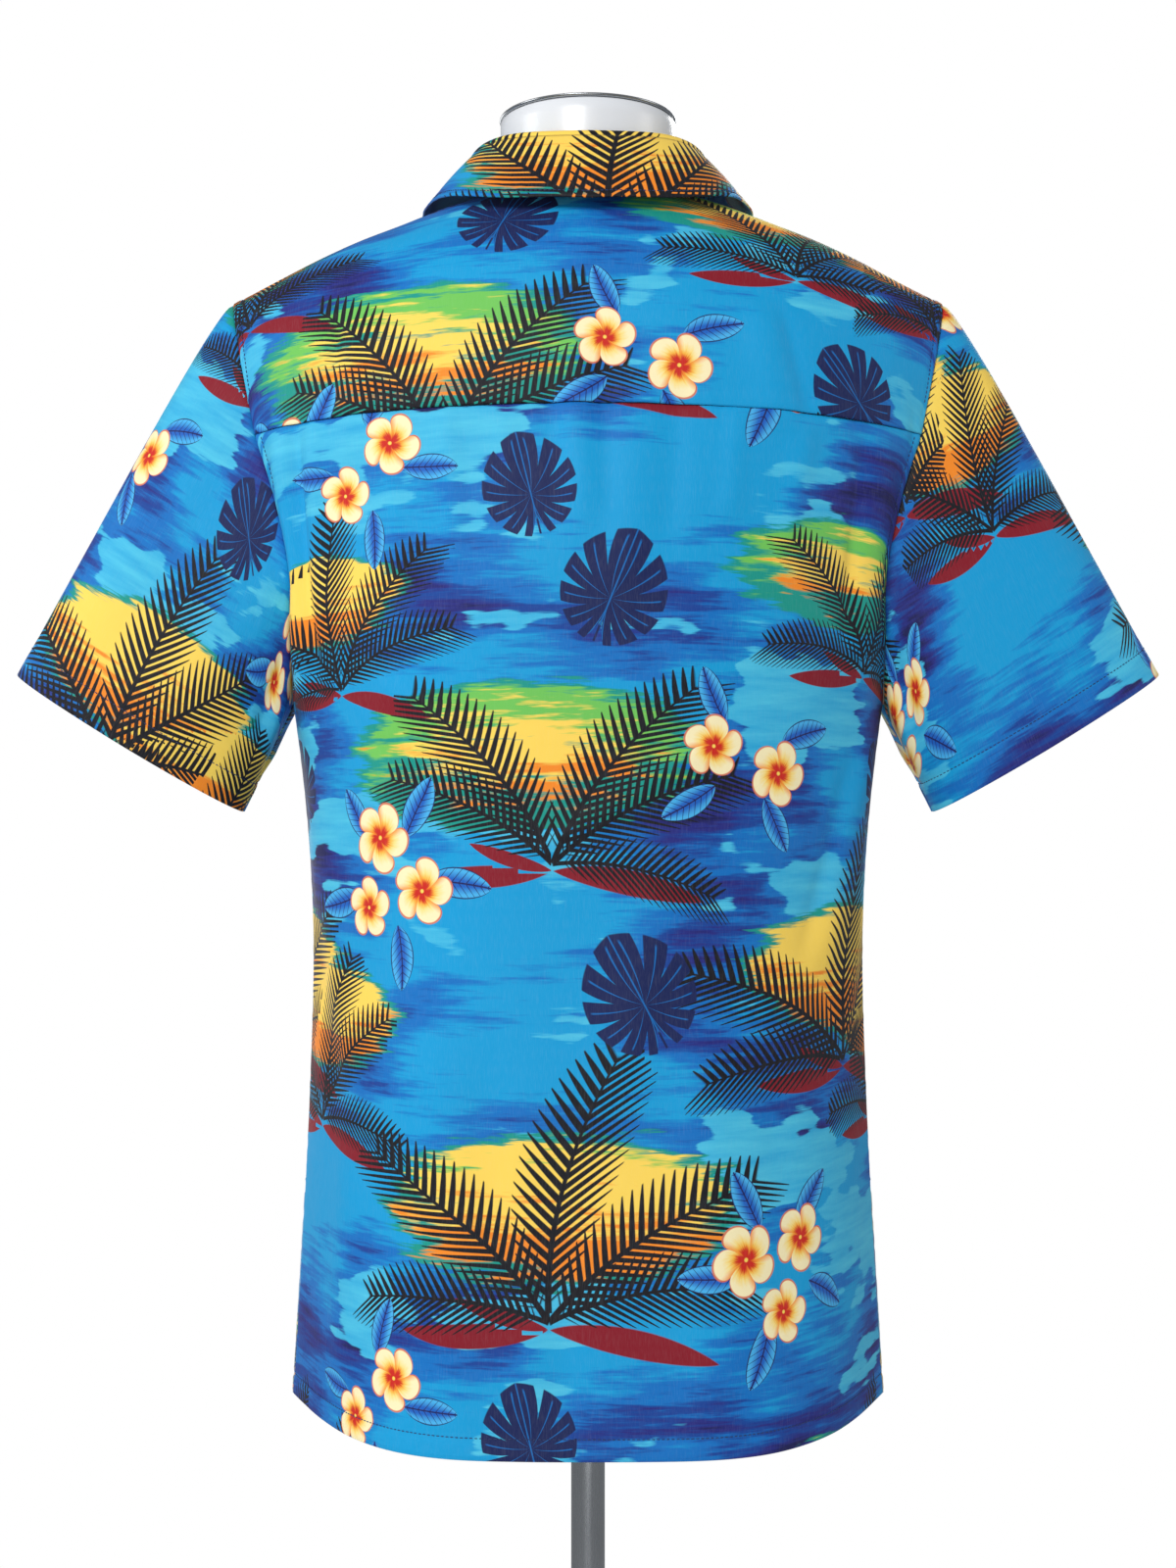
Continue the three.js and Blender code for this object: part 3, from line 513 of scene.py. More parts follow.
# Flower clusters: the middle's u and v, how large a flower is, the first one's direction, how many
clusters = [
    (96, 118, 23, 20, 3),
    (342, 352, 23, 75, 3),
    (352, 40, 20, 140, 2),
    (118, 424, 21, 200, 2),
]

# Fern tufts: the foot's u and v, the longest frond, how many fronds, the first and last direction
tufts = [
    (238, 92, 146, 5, 22, 158),
    (26, 236, 138, 5, 12, 150),
    (236, 362, 132, 5, 40, 172),
    (424, 196, 118, 5, 22, 160),
    (20, 482, 112, 5, 30, 165),
    (380, 468, 104, 5, 14, 140),
]

# Broad split leaves: u, v, size and direction
split_leaves = [
    (176, 268, 60, 62),
    (206, 508, 56, 112),
    (440, 396, 52, 48),
    (246, 10, 50, 76),
]

# Warm patches of the ground behind the tufts: u, v, the half-length and how green each is
patches = [
    (232, 158, 118, 0.24),
    (20, 296, 104, 0.02),
    (258, 426, 116, 0.42),
    (424, 264, 92, 0.0),
    (50, 540, 84, 0.44),
    (398, 524, 74, 0.1),
]


def motif_rows():
    """Every motif of one repeat, as layer name -> rows of u, v, length, turn and bend, or how green
    a patch is. A leaf or frond has its own x from 0 at its foot to 1 at its tip."""
    layers = {name: [] for name in ("patch", "slender", "frond_a", "frond_b", "split", "leaf", "bloom")}
    for u, v, size, direction, flowers in clusters:
        for k in range(flowers):
            turn = math.radians(direction + 360 * k / max(flowers, 2))
            away = size * 1.12
            layers["bloom"].append((u + away * math.cos(turn), v + away * math.sin(turn),
                                    size * (1 - 0.07 * k), turn * 2.3, 0.0))
        for k in range(flowers + 2):
            turn = math.radians(direction + 42 + 360 * k / (flowers + 2) + 9 * math.sin(5 * k))
            away = size * 1.25
            layers["leaf"].append((u + away * math.cos(turn), v + away * math.sin(turn),
                                   size * (1.75 + 0.2 * math.sin(3 * k)), turn, 0.16 * math.sin(7 * k)))
    for number, (u, v, longest, fronds, first, last) in enumerate(tufts):
        for k in range(fronds):
            share = k / (fronds - 1)
            turn = math.radians(lerp(first, last, share) + 5 * math.sin(9 * k + number))
            length = longest * (0.78 + 0.22 * math.sin(math.pi * share) + 0.06 * math.sin(7 * k + number))
            bend = -0.34 if share < 0.5 else 0.34
            layers["frond_a" if k % 2 == 0 else "frond_b"].append((u, v, length, turn, bend))
        for turn, share in ((-8, 0.62), (186, 0.7), (12, 0.4)):
            layers["slender"].append((u, v - 4, longest * share, math.radians(turn), 0.1))
    for u, v, size, turn in split_leaves:
        layers["split"].append((u, v, size, math.radians(turn), 0.0))
    for u, v, half_length, green in patches:
        layers["patch"].append((u, v, half_length, 0.0, green))
    return {name: np.array(rows) for name, rows in layers.items()}


MOTIFS = motif_rows()

# The middle and half-lengths of each motif in its own units, which say whose ground a face is on
MOTIF_REACH = {
    "patch": (0.0, 1.15, 0.5),
    "slender": (0.5, 0.56, 0.2),
    "frond_a": (0.5, 0.58, 0.3),
    "frond_b": (0.5, 0.58, 0.3),
    "split": (0.45, 0.62, 0.55),
    "leaf": (0.5, 0.56, 0.3),
    "bloom": (0.0, 1.0, 1.0),
}


def in_motif(du, dv, size, turn):
    """A step on the flat cloth in a motif's own units: x along the motif and y across it."""
    x = (du * math.cos(turn) + dv * math.sin(turn)) / size
    y = (dv * math.cos(turn) - du * math.sin(turn)) / size
    return x, y


def print_layers(corner_u, corner_v):
    """For each layer, the corner coordinates of every face in the space of its nearest motif."""
    middle_u = corner_u.mean(axis=1)
    middle_v = corner_v.mean(axis=1)
    layers = {}
    for name, rows in MOTIFS.items():
        centre, half_long, half_wide = MOTIF_REACH[name]
        best = np.full(len(middle_u), np.inf)
        local = np.zeros(corner_u.shape + (3,))
        for u, v, size, turn, spare in rows:
            middle_x = u + centre * size * math.cos(turn)
            middle_y = v + centre * size * math.sin(turn)
            shift_u = np.round((middle_u - middle_x) / REPEAT[0]) * REPEAT[0]
            shift_v = np.round((middle_v - middle_y) / REPEAT[1]) * REPEAT[1]
            x, y = in_motif(middle_u - shift_u - u, middle_v - shift_v - v, size, turn)
            score = ((x - centre) / half_long) ** 2 + (y / half_wide) ** 2
            nearer = score < best
            best = np.where(nearer, score, best)
            x, y = in_motif(corner_u - shift_u[:, None] - u, corner_v - shift_v[:, None] - v, size, turn)
            fitted = np.stack([x, y, np.full(x.shape, spare)], axis=-1)
            local = np.where(nearer[:, None, None], fitted, local)
        layers[name] = local
    return layers


def cloth_piece(name, shown, normals, thickness, flat_u, flat_v, offset, nodes):
    """A printed wall. flat_u and flat_v say where each point lies on its cut piece, and offset where
    the piece was cut from the printed cloth, in millimetres, with its turn in degrees."""
    points, outer, inner, edge = shell_arrays(shown, normals, thickness)
    faces = np.concatenate([outer, inner, edge])
    mesh = bpy.data.meshes.new(name)
    mesh.from_pydata((points * MM).tolist(), [], faces.tolist())
    turn = math.radians(offset[2])
    u = flat_u.ravel() * math.cos(turn) - flat_v.ravel() * math.sin(turn) + offset[0]
    v = flat_u.ravel() * math.sin(turn) + flat_v.ravel() * math.cos(turn) + offset[1]
    corner_u = np.tile(u, 2)[faces]
    corner_v = np.tile(v, 2)[faces]
    layer = mesh.uv_layers.new(name="cloth")
    layer.data.foreach_set("uv", np.stack([corner_u, corner_v], axis=-1).ravel() * MM)
    for motif, local in print_layers(corner_u, corner_v).items():
        attribute = mesh.attributes.new(motif, "FLOAT_VECTOR", "CORNER")
        attribute.data.foreach_set("vector", local.astype(np.float32).ravel())
    mesh.materials.append(printed_cloth)
    mesh.materials.append(printed_cloth_inside)
    is_inner = np.zeros(len(faces), np.int32)
    is_inner[len(outer):len(outer) + len(inner)] = 1
    mesh.polygons.foreach_set("material_index", is_inner)
    mesh.polygons.foreach_set("use_smooth", np.ones(len(faces), bool))
    mesh.update()
    piece = new_object(name, mesh)
    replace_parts(piece, *nodes)
    return piece


# Materials

def feed(tree, value, slot):
    """Links a Wire to a node's input, or sets the input to a plain number."""
    if isinstance(value, Wire):
        tree.links.new(value.socket, slot)
    else:
        slot.default_value = value


class Wire:
    """A number that varies over a surface, built from Math nodes by ordinary arithmetic."""

    def __init__(self, tree, socket):
        self.tree = tree
        self.socket = socket

    def math(self, operation, *others, clamp=False):
        node = self.tree.nodes.new("ShaderNodeMath")
        node.operation = operation
        node.use_clamp = clamp
        for slot, value in zip(node.inputs, (self, *others)):
            feed(self.tree, value, slot)
        return Wire(self.tree, node.outputs[0])

    def __rsub__(self, other):
        return (self * -1).math("ADD", other)

    def over(self, limit, softness):
        """1 where the number is over the limit, 0 where it is under, with a soft step between."""
        return ((self - limit) / softness).math("ADD", 0.5, clamp=True)

    def under(self, limit, softness):
        return 1 - self.over(limit, softness)


def operation(name):
    return lambda wire, *others: wire.math(name, *others)


Wire.__add__ = Wire.__radd__ = operation("ADD")
Wire.__sub__ = operation("SUBTRACT")
Wire.__mul__ = Wire.__rmul__ = operation("MULTIPLY")
Wire.__truediv__ = operation("DIVIDE")
Wire.size = operation("ABSOLUTE")
Wire.fract = operation("FRACT")
Wire.least = operation("MINIMUM")
Wire.most = operation("MAXIMUM")
Wire.power = operation("POWER")


def hue(red, green, blue):
    """A colour given as it looks on a screen, from 0 to 255, turned into light."""
    def linear(value):
        value /= 255
        return value / 12.92 if value <= 0.04045 else ((value + 0.055) / 1.055) ** 2.4
    return (linear(red), linear(green), linear(blue), 1)


NAVY = hue(20, 22, 84)
VIOLET = hue(34, 40, 126)
DEEP_BLUE = hue(14, 30, 84)
ROYAL = hue(14, 66, 150)
AZURE = hue(2, 112, 192)
TURQUOISE = hue(4, 156, 214)
AQUA = hue(88, 205, 232)
TEAL = hue(14, 150, 136)
LEAF_GREEN = hue(112, 196, 88)
YELLOW = hue(255, 216, 92)
ORANGE = hue(248, 140, 34)
BLACK = hue(12, 12, 22)
DARK_RED = hue(134, 14, 34)
LEAF_BLUE = hue(22, 96, 190)
PALE_BLUE = hue(70, 176, 232)
CREAM = hue(255, 240, 190)
FLOWER_RED = hue(206, 36, 22)


class Shader:
    """One material's node tree, with short ways to add what the materials here share."""

    def __init__(self, name):
        self.material = bpy.data.materials.new(name)
        self.material.use_nodes = True
        self.tree = self.material.node_tree
        self.surface = self.tree.nodes["Principled BSDF"]

    def split(self, output):
        node = self.tree.nodes.new("ShaderNodeSeparateXYZ")
        self.tree.links.new(output, node.inputs[0])
        return [Wire(self.tree, number) for number in node.outputs]

    def attribute(self, name):
        node = self.tree.nodes.new("ShaderNodeAttribute")
        node.attribute_name = name
        return self.split(node.outputs["Vector"])

    def flat(self):
        """The place on the printed cloth, in metres across and up."""
        node = self.tree.nodes.new("ShaderNodeUVMap")
        node.uv_map = "cloth"
        return self.split(node.outputs["UV"])[:2]

    def vector(self, x, y, z=0.0):
        node = self.tree.nodes.new("ShaderNodeCombineXYZ")
        for slot, value in zip(node.inputs, (x, y, z)):
            feed(self.tree, value, slot)
        return node.outputs[0]

    def noise(self, place, detail=3.0, roughness=0.55):
        node = self.tree.nodes.new("ShaderNodeTexNoise")
        node.inputs["Scale"].default_value = 1.0
        node.inputs["Detail"].default_value = detail
        node.inputs["Roughness"].default_value = roughness
        self.tree.links.new(place, node.inputs["Vector"])
        return Wire(self.tree, node.outputs[0])

    def mix(self, share, low, high):
        """Low where the share is 0, high where it is 1. Each is a colour or another mix's output."""
        node = self.tree.nodes.new("ShaderNodeMix")
        node.data_type = "RGBA"
        feed(self.tree, share, node.inputs[0])
        for slot, value in ((node.inputs[6], low), (node.inputs[7], high)):
            if isinstance(value, tuple):
                slot.default_value = value
            else:
                self.tree.links.new(value, slot)
        return node.outputs[2]

    def bump(self, height, distance, strength=1.0):
        node = self.tree.nodes.new("ShaderNodeBump")
        node.inputs["Strength"].default_value = strength
        node.inputs["Distance"].default_value = distance
        self.tree.links.new(height.socket, node.inputs["Height"])
        self.tree.links.new(node.outputs[0], self.surface.inputs["Normal"])

    def place(self):
        node = self.tree.nodes.new("ShaderNodeTexCoord")
        return self.split(node.outputs["Object"])

    def color(self, output):
        self.tree.links.new(output, self.surface.inputs["Base Color"])

    def roughness(self, wire):
        self.tree.links.new(wire.socket, self.surface.inputs["Roughness"])

    def set(self, **values):
        for name, value in values.items():
            self.surface.inputs[name.replace("_", " ")].default_value = value


def ground_color(shader, u, v):
    """Streaked brushwork in blues, with paler dabs."""
    broad = shader.noise(shader.vector(u * 5.2, v * 9.5), 2)
    streak = shader.noise(shader.vector(u * 13, v * 120, 3.1), 4, 0.65)
    fine = shader.noise(shader.vector(u * 40, v * 520, 7.7), 2)
    tone = broad + (streak - 0.5) * 0.34 + (fine - 0.5) * 0.1
    color = shader.mix(tone.over(0.34, 0.04), NAVY, VIOLET)
    color = shader.mix(tone.over(0.385, 0.035), color, ROYAL)
    color = shader.mix(tone.over(0.435, 0.04), color, AZURE)
    color = shader.mix(tone.over(0.51, 0.06), color, TURQUOISE)
    dab = shader.noise(shader.vector(u * 8 + 4.3, v * 17 + 1.7, 5.5), 3) + (streak - 0.5) * 0.16
    shade = (streak * 1.6 - 0.3).math("MAXIMUM", 0.0, clamp=True)
    pale = shader.mix(shade, TURQUOISE, AQUA)
    return shader.mix(dab.over(0.575, 0.016), color, pale), streak, fine


def patch_color(shader, under, streak, fine):
    """Warm patches with streaked ends: yellow and orange, going over into greens."""
    x, y, green = shader.attribute("patch")
    reach = (x * x + y * y * 6.2).power(0.5) + (streak - 0.5) * 0.75 + (fine - 0.5) * 0.25
    warm = shader.mix((streak + y * 0.9).under(0.42, 0.12), YELLOW, ORANGE)
    cool = shader.mix((streak - y * 0.6).over(0.52, 0.1), LEAF_GREEN, TEAL)
    to_green = (reach * 0.55 + green + (streak - 0.5) * 0.8).over(0.72, 0.1)
    inside = shader.mix(to_green, warm, cool)
    inside = shader.mix(reach.over(0.86, 0.06), inside, TEAL)
    return shader.mix(reach.under(0.95, 0.05), under, inside)


def slender_color(shader, under):
    x, y, bend = shader.attribute("slender")
    curved = (y - bend * x * x).size()
    room = (x * (1 - x)).most(0.0).power(0.8) * 0.26
    inside = (room - curved).over(0.004, 0.008)
    return shader.mix(inside, under, DARK_RED)


def frond_color(shader, under, name):
    """A fern frond: a bending rib with many narrow leaflets that sweep towards its tip."""
    x, y, bend = shader.attribute(name)
    away = (y - bend * x * x).size()
    root = x - away * 0.85
    along = root.most(0.0).least(1.0)
    reach = (along * (1.08 - along)).most(0.0001).power(0.62) * 0.46
    share = away / reach
    leaflet = ((root * 23).fract() - 0.5).size() * 2
    width = 0.7 - share * share * 0.56
    inside = leaflet.under(width, 0.16) * share.under(1.0, 0.03)
    inside = inside * root.over(0.07, 0.01) * root.under(0.985, 0.01)
    rib = away.under(0.014 - x * 0.009, 0.004) * x.over(0.0, 0.01) * x.under(0.99, 0.01)
    return shader.mix(inside.most(rib), under, BLACK)


def split_color(shader, under):
    """A broad heart-shaped leaf, split along its veins."""
    x, y, _ = shader.attribute("split")
    from_x = x - 0.2
    radius = (from_x * from_x + y * y).power(0.5)
    angle = y.size().math("ARCTAN2", from_x) / math.pi
    outline = 0.78 - angle * 0.62 + angle * angle * 0.34
    share = radius / outline
    lobe = ((angle * 5.5 + share * 0.35).fract() - 0.5).size() * 2
    gap = (share - 0.5).most(0.0) * 0.62
    notch = (1 - lobe).under(gap, 0.05) * share.over(0.5, 0.03)
    heart = (angle - 0.93).most(0.0) * 9
    inside = share.under(1 - heart, 0.02) * (1 - notch)
    vein = lobe.under(0.06, 0.04) * share.under(0.9, 0.05)
    midrib = y.size().under(0.008, 0.006) * x.over(-0.1, 0.02)
    stalk = y.size().under(0.012, 0.005) * x.over(-0.28, 0.01) * x.under(0.25, 0.01)
    leaf = shader.mix(vein.most(midrib) * 0.8, DEEP_BLUE, AZURE)
    return shader.mix(inside.most(stalk), under, leaf)


def leaf_color(shader, under):
    """A mid-blue leaf with dark veins and a paler edge."""
    x, y, bend = shader.attribute("leaf")
    away = (y - bend * x * x).size()
    room = (x * (1 - x)).most(0.0).power(0.72) * 0.62
    share = away / (room + 0.0001)
    vein = (((x - away * 0.8) * 9).fract() - 0.5).size() * 2
    dark = vein.under(0.16 - share * 0.1, 0.1).most(away.under(0.012, 0.01))
    body = shader.mix((share * 0.9 + (x - 0.5) * 0.3).over(0.45, 0.5), LEAF_BLUE, PALE_BLUE)
    body = shader.mix(dark, body, NAVY)
    body = shader.mix(share.over(0.92, 0.06), body, NAVY)
    return shader.mix(share.under(1.0, 0.05) * x.over(0.0, 0.01) * x.under(1.0, 0.01), under, body)


def bloom_color(shader, under):
    """A flower of five round petals that overlap like a pinwheel, cream with a warm heart."""
    x, y, _ = shader.attribute("bloom")
    radius = (x * x + y * y).power(0.5)
    angle = y.math("ARCTAN2", x) / (2 * math.pi) + radius * 0.07
    petal = (angle * 5 + 5).fract()
    curve = (petal * math.pi).math("SINE").most(0.0001).power(0.5)
    outline = curve * 0.4 + 0.58
    streaks = shader.noise(shader.vector(angle * 60, radius * 2.2), 2)
    warm = radius + (streaks - 0.5) * 0.3 - (curve - 0.7) * 0.12
    body = shader.mix(warm.under(0.52, 0.3), CREAM, YELLOW)
    body = shader.mix(warm.under(0.36, 0.22), body, ORANGE)
    body = shader.mix(warm.under(0.29, 0.14), body, FLOWER_RED)
    shade = petal.under(0.14, 0.22) * radius.over(0.16, 0.1)
    body = shader.mix(shade * 0.85, body, ORANGE)
    body = shader.mix((radius / outline).over(0.945, 0.03) * 0.8, body, FLOWER_RED)
    body = shader.mix(radius.under(0.055, 0.03), body, YELLOW)
    return shader.mix((radius / outline).under(1.0, 0.03), under, body)


def make_printed_cloth(name, paleness):
    """Poplin: the print, a fine plain weave, small soft creases and a slight sheen."""
    shader = Shader(name)
    u, v = shader.flat()
    color, streak, fine = ground_color(shader, u, v)
    color = patch_color(shader, color, streak, fine)
    color = slender_color(shader, color)
    color = frond_color(shader, color, "frond_a")
    color = frond_color(shader, color, "frond_b")
    color = split_color(shader, color)
    color = leaf_color(shader, color)
    color = bloom_color(shader, color)
    if paleness:
        color = shader.mix(paleness, color, hue(214, 226, 234))
    thread = (u * 11000).math("SINE") * (v * 11000).math("SINE")
    slub = shader.noise(shader.vector(u * 900, v * 90), 2)
    color = shader.mix((slub - 0.5).size() * 0.1, color, hue(235, 240, 245))
    shader.color(color)
    soft = shader.noise(shader.vector(u * 34, v * 26, 1.3), 3, 0.6)
    tiny = shader.noise(shader.vector(u * 150, v * 130, 9.1), 2)
    shader.bump(soft + tiny * 0.1 + thread * 0.012, 0.0014, 0.6)
    shader.roughness(0.62 + (slub - 0.5) * 0.25)
    shader.set(Specular_IOR_Level=0.24, Sheen_Weight=0.04, Sheen_Roughness=0.4)
    return shader.material


def make_thread(name, color):
    shader = Shader(name)
    x, y, z = shader.place()
    twist = ((x + y + z) * 9000).math("SINE")
    shader.color(shader.mix(twist.over(0.2, 0.8) * 0.5, color, hue(60, 96, 150)))
    shader.bump(twist, 0.0001, 0.4)
    shader.set(Roughness=0.6)
    return shader.material


def make_form_white():
    shader = Shader("form_white")
    x, y, z = shader.place()
    cloud = shader.noise(shader.vector(x * 9, y * 9, z * 9), 3)
    shader.color(shader.mix(cloud, hue(222, 225, 230), hue(232, 234, 238)))
    orange_peel = shader.noise(shader.vector(x * 420, y * 420, z * 420), 1)
    shader.bump(orange_peel, 0.0002, 0.25)
    shader.roughness(0.3 + (cloud - 0.5) * 0.12)
    shader.set(Coat_Weight=0.25, Coat_Roughness=0.22)
    return shader.material


def make_steel(name, brushed_round):
    shader = Shader(name)
    x, y, z = shader.place()
    if brushed_round:
        radius = (x * x + y * y).power(0.5)
        grain = shader.noise(shader.vector(radius * 1400, z * 1400), 3)
    else:
        grain = shader.noise(shader.vector(x * 1800, y * 1800, z * 14), 3)
    cloud = shader.noise(shader.vector(x * 24, y * 24, z * 9), 2)
    shader.color(shader.mix(cloud, hue(150, 153, 157), hue(178, 181, 184)))
    shader.roughness(0.27 + (grain - 0.5) * 0.22)
    shader.bump(grain, 0.00008, 0.5)
    shader.set(Metallic=1.0)
    return shader.material


def make_button():
    shader = Shader("button_pearl")
    x, y, z = shader.place()
    swirl = shader.noise(shader.vector(x * 260, y * 260, z * 190), 4)
    shader.color(shader.mix(swirl.over(0.5, 0.4), hue(226, 220, 204), hue(246, 243, 234)))
    shader.bump(swirl, 0.0001, 0.3)
    shader.roughness(0.22 + (swirl - 0.5) * 0.15)
    shader.set(Coat_Weight=0.5, Coat_Roughness=0.1)
    return shader.material


printed_cloth = make_printed_cloth("printed_cloth", 0)
printed_cloth_inside = make_printed_cloth("printed_cloth_inside", 0.42)
thread_dark = make_thread("thread_dark", hue(22, 34, 84))
thread_pale = make_thread("thread_pale", hue(222, 218, 204))
form_white = make_form_white()
steel_tube = make_steel("steel_tube", False)
steel_plate = make_steel("steel_plate", True)
button_pearl = make_button()


# Stitching

STITCH_LENGTH = 2.1
STITCH_PITCH = 2.9
STITCH_RADIUS = 0.3


def stitch_points(line, normals, lift=0.1):
    """The two ends of every stitch along a line of points, and the cloth's normal at each."""
    steps = np.linalg.norm(np.diff(line, axis=0), axis=1)
    run = np.concatenate([[0], np.cumsum(steps)])
    count = int((run[-1] - STITCH_LENGTH) / STITCH_PITCH)
    starts = 1.0 + np.arange(max(count, 0)) * STITCH_PITCH

    def at(places, values):
        return np.stack([np.interp(places, run, values[:, k]) for k in range(3)], axis=-1)

    normal = unit(at(starts + STITCH_LENGTH / 2, normals))
    first = at(starts, line) + normal * lift
    last = at(starts + STITCH_LENGTH, line) + normal * lift
    return first, last, normal


def stitch_mesh(name, runs, material):
    """Small rounded threads, one for each stitch, joined in one mesh."""
    sides = 6
    profile = ((0.0, 0.25), (0.18, 0.9), (0.5, 1.0), (0.82, 0.9), (1.0, 0.25))
    points, faces = [], []
    count = 0
    for first, last, normal in runs:
        along = unit(last - first)
        across = unit(np.cross(along, normal))
        for k in range(len(first)):
            rings = []
            for share, wide in profile:
                arch = STITCH_RADIUS * (0.35 - 1.4 * (share - 0.5) ** 2)
                centre = lerp(first[k], last[k], share) + normal[k] * arch
                turn = np.linspace(0, 2 * math.pi, sides, endpoint=False)[:, None]
                ring = centre + STITCH_RADIUS * wide * (np.cos(turn) * across[k] + np.sin(turn) * normal[k])
                rings.append(ring)
            points.append(np.concatenate(rings))
            faces += closed_tube(count, len(profile), sides)
            count += sides * len(profile)
    return new_object(name, make_mesh(name, np.concatenate(points), faces, material))


def line_on(grid, normals, distance, axis, from_end):
    """The line that lies a distance in from a grid's first or last row (axis 0) or column (axis 1)."""
    run = lengths_along(grid, axis)
    if from_end:
        run = np.take(run, [-1], axis=axis) - run
        run, grid, normals = (np.flip(values, axis=axis) for values in (run, grid, normals))
    if axis == 0:
        run, grid, normals = run.T, grid.swapaxes(0, 1), normals.swapaxes(0, 1)

    def read(values):
        return np.array([[np.interp(distance, run[k], values[k, :, c]) for c in range(3)]
                         for k in range(len(run))])

    return read(grid), unit(read(normals))


# Flat places on the body's panels

FLAT_ACROSS = 80
FLAT_UP = 220


def flat_table(side, top_level):
    """The lengths across from the middle and up from the hem, over a side of the smooth body."""
    s = np.linspace(-1, 1, FLAT_ACROSS + 1)
    level = np.linspace(0, top_level, FLAT_UP + 1)
    grid = torso(s[None, :], level[:, None], side)
    across = lengths_along(grid, 1)
    return {"top": top_level, "u": across - across[:, [FLAT_ACROSS // 2]], "v": lengths_along(grid, 0)}


def flat_place(table, s, level):
    i = np.clip((s + 1) / 2 * FLAT_ACROSS, 0, FLAT_ACROSS - 0.001)
    j = np.clip(level / table["top"] * FLAT_UP, 0, FLAT_UP - 0.001)
    i0, j0 = i.astype(int), j.astype(int)
    fi, fj = i - i0, j - j0

    def read(values):
        low = lerp(values[j0, i0], values[j0, i0 + 1], fi)
        high = lerp(values[j0 + 1, i0], values[j0 + 1, i0 + 1], fi)
        return lerp(low, high, fj)

    return read(table["u"]), read(table["v"])


flat_behind = flat_table(1, 2.5)
flat_before = flat_table(-1, 1.9)

# Where each piece was cut from the printed cloth: millimetres across and up, and degrees
CUT_FROM = {
    "back": (215, 12, 0),
    "yoke": (150, 330, 0),
    "front_left": (60, 140, 0),
    "front_right": (330, 300, 0),
    "sleeve_left": (130, 250, 0),
    "sleeve_right": (330, 60, 0),
    "collar": (250, 120, 0),
    "facing_left": (300, 420, 0),
    "facing_right": (90, 60, 0),
}

WALL = 1.0
HEM_WIDTH = 13
ARMHOLE_STITCH = 6


def add_panel(name, shown, wanted, thickness, u, v):
    """Makes a piece's wall, with its shown face turned the wanted way."""
    normals = unit(np.cross(np.gradient(shown, axis=1), np.gradient(shown, axis=0)))
    turned = np.sum(normals * wanted) < 0
    normals = -normals if turned else normals
    step = -1 if turned else 1
    piece = cloth_piece(name + "_cloth", shown[:, ::step], normals[:, ::step], thickness,
                        u[:, ::step], v[:, ::step], CUT_FROM[name], [name])
    return {"piece": piece, "shown": shown, "normals": normals}


def add_body_panel(name, surface, s, level, side, relief):
    """A panel that lies on the body: its surface, with the small relief raised on it."""
    base = surface(s, level, side)
    facing = normal_of(surface, s, level, side)
    u, v = flat_place(flat_behind if side > 0 else flat_before, s, level)
    seed = sum(map(ord, name))
    raised = relief(Edges(base), base, u) + 0.5 * unevenness(u, v, seed) * smooth_step(1, 0.86, np.abs(s))
    return add_panel(name, base + facing * raised[..., None], facing, WALL, u, v)


def armhole_edge(away, along, seed):
    """The body's edge at the armhole, which lies over the sleeve and is stitched down."""
    return turned_hem(away, along, seed, ARMHOLE_STITCH, 0.4)


def side_relief(away, base, seed):
    """A plain seam below the underarm and a stitched edge above it."""
    upper = smooth_step(UNDERARM_Z - 8, UNDERARM_Z + 8, base[..., 2])
    plain = seam_dip(away) + puckers(away, base[..., 2], seed, 0.3)
    return lerp(plain, armhole_edge(away, base[..., 2], seed + 1), upper)


# Back panel

BACK_ROWS = 198
BACK_COLUMNS = 128
back_level, back_s = np.meshgrid(level_of(spaced(HEM_Z, YOKE_Z, BACK_ROWS, 0.0009)),
                                 spaced(-1, 1, BACK_COLUMNS, 0.0012), indexing="ij")


def back_relief(edges, base, u):
    sides = np.minimum(edges.across, edges.back)
    return (turned_hem(edges.up, u, 3, HEM_WIDTH) + seam_dip(edges.down, 0.8, 2.2)
            + puckers(edges.down, u, 5, 0.5, 12, 13) + side_relief(sides, base, 11))


back = add_body_panel("back", fine_cloth, back_s, back_level, 1, back_relief)


# Yoke: spokes from the neck seam out to the armholes and the back yoke seam

ARMHOLE_SPOKES = 44
SEAM_SPOKES = 132
YOKE_RINGS = 62
FRONT_NECK_S = share_at(NECK_SEAM_X, NECK_SEAM_LEVEL)
NECK_END_ANGLE = math.radians(112)

armhole_share = np.linspace(0, 1, ARMHOLE_SPOKES + 1)
armhole_level = lerp(4 - FRONT_ARMHOLE_LEVEL, 1, armhole_share)
seam_share = np.arange(1, SEAM_SPOKES) / SEAM_SPOKES
rim_s = np.concatenate([np.ones(ARMHOLE_SPOKES + 1), lerp(1, -1, seam_share), -np.ones(ARMHOLE_SPOKES + 1)])
rim_level = np.concatenate([armhole_level, np.ones(SEAM_SPOKES - 1), armhole_level[::-1]])


def coarse_turn(spoke):
    """The neck angle of each spoke, even over the solid's own spokes."""
    armhole, seam = 6, 20
    spokes = [0, ARMHOLE_SPOKES, ARMHOLE_SPOKES + SEAM_SPOKES, 2 * ARMHOLE_SPOKES + SEAM_SPOKES]
    number = np.interp(spoke, spokes, [0, armhole, armhole + seam, 2 * armhole + seam])
    return lerp(NECK_END_ANGLE, -NECK_END_ANGLE, number / (2 * armhole + seam))


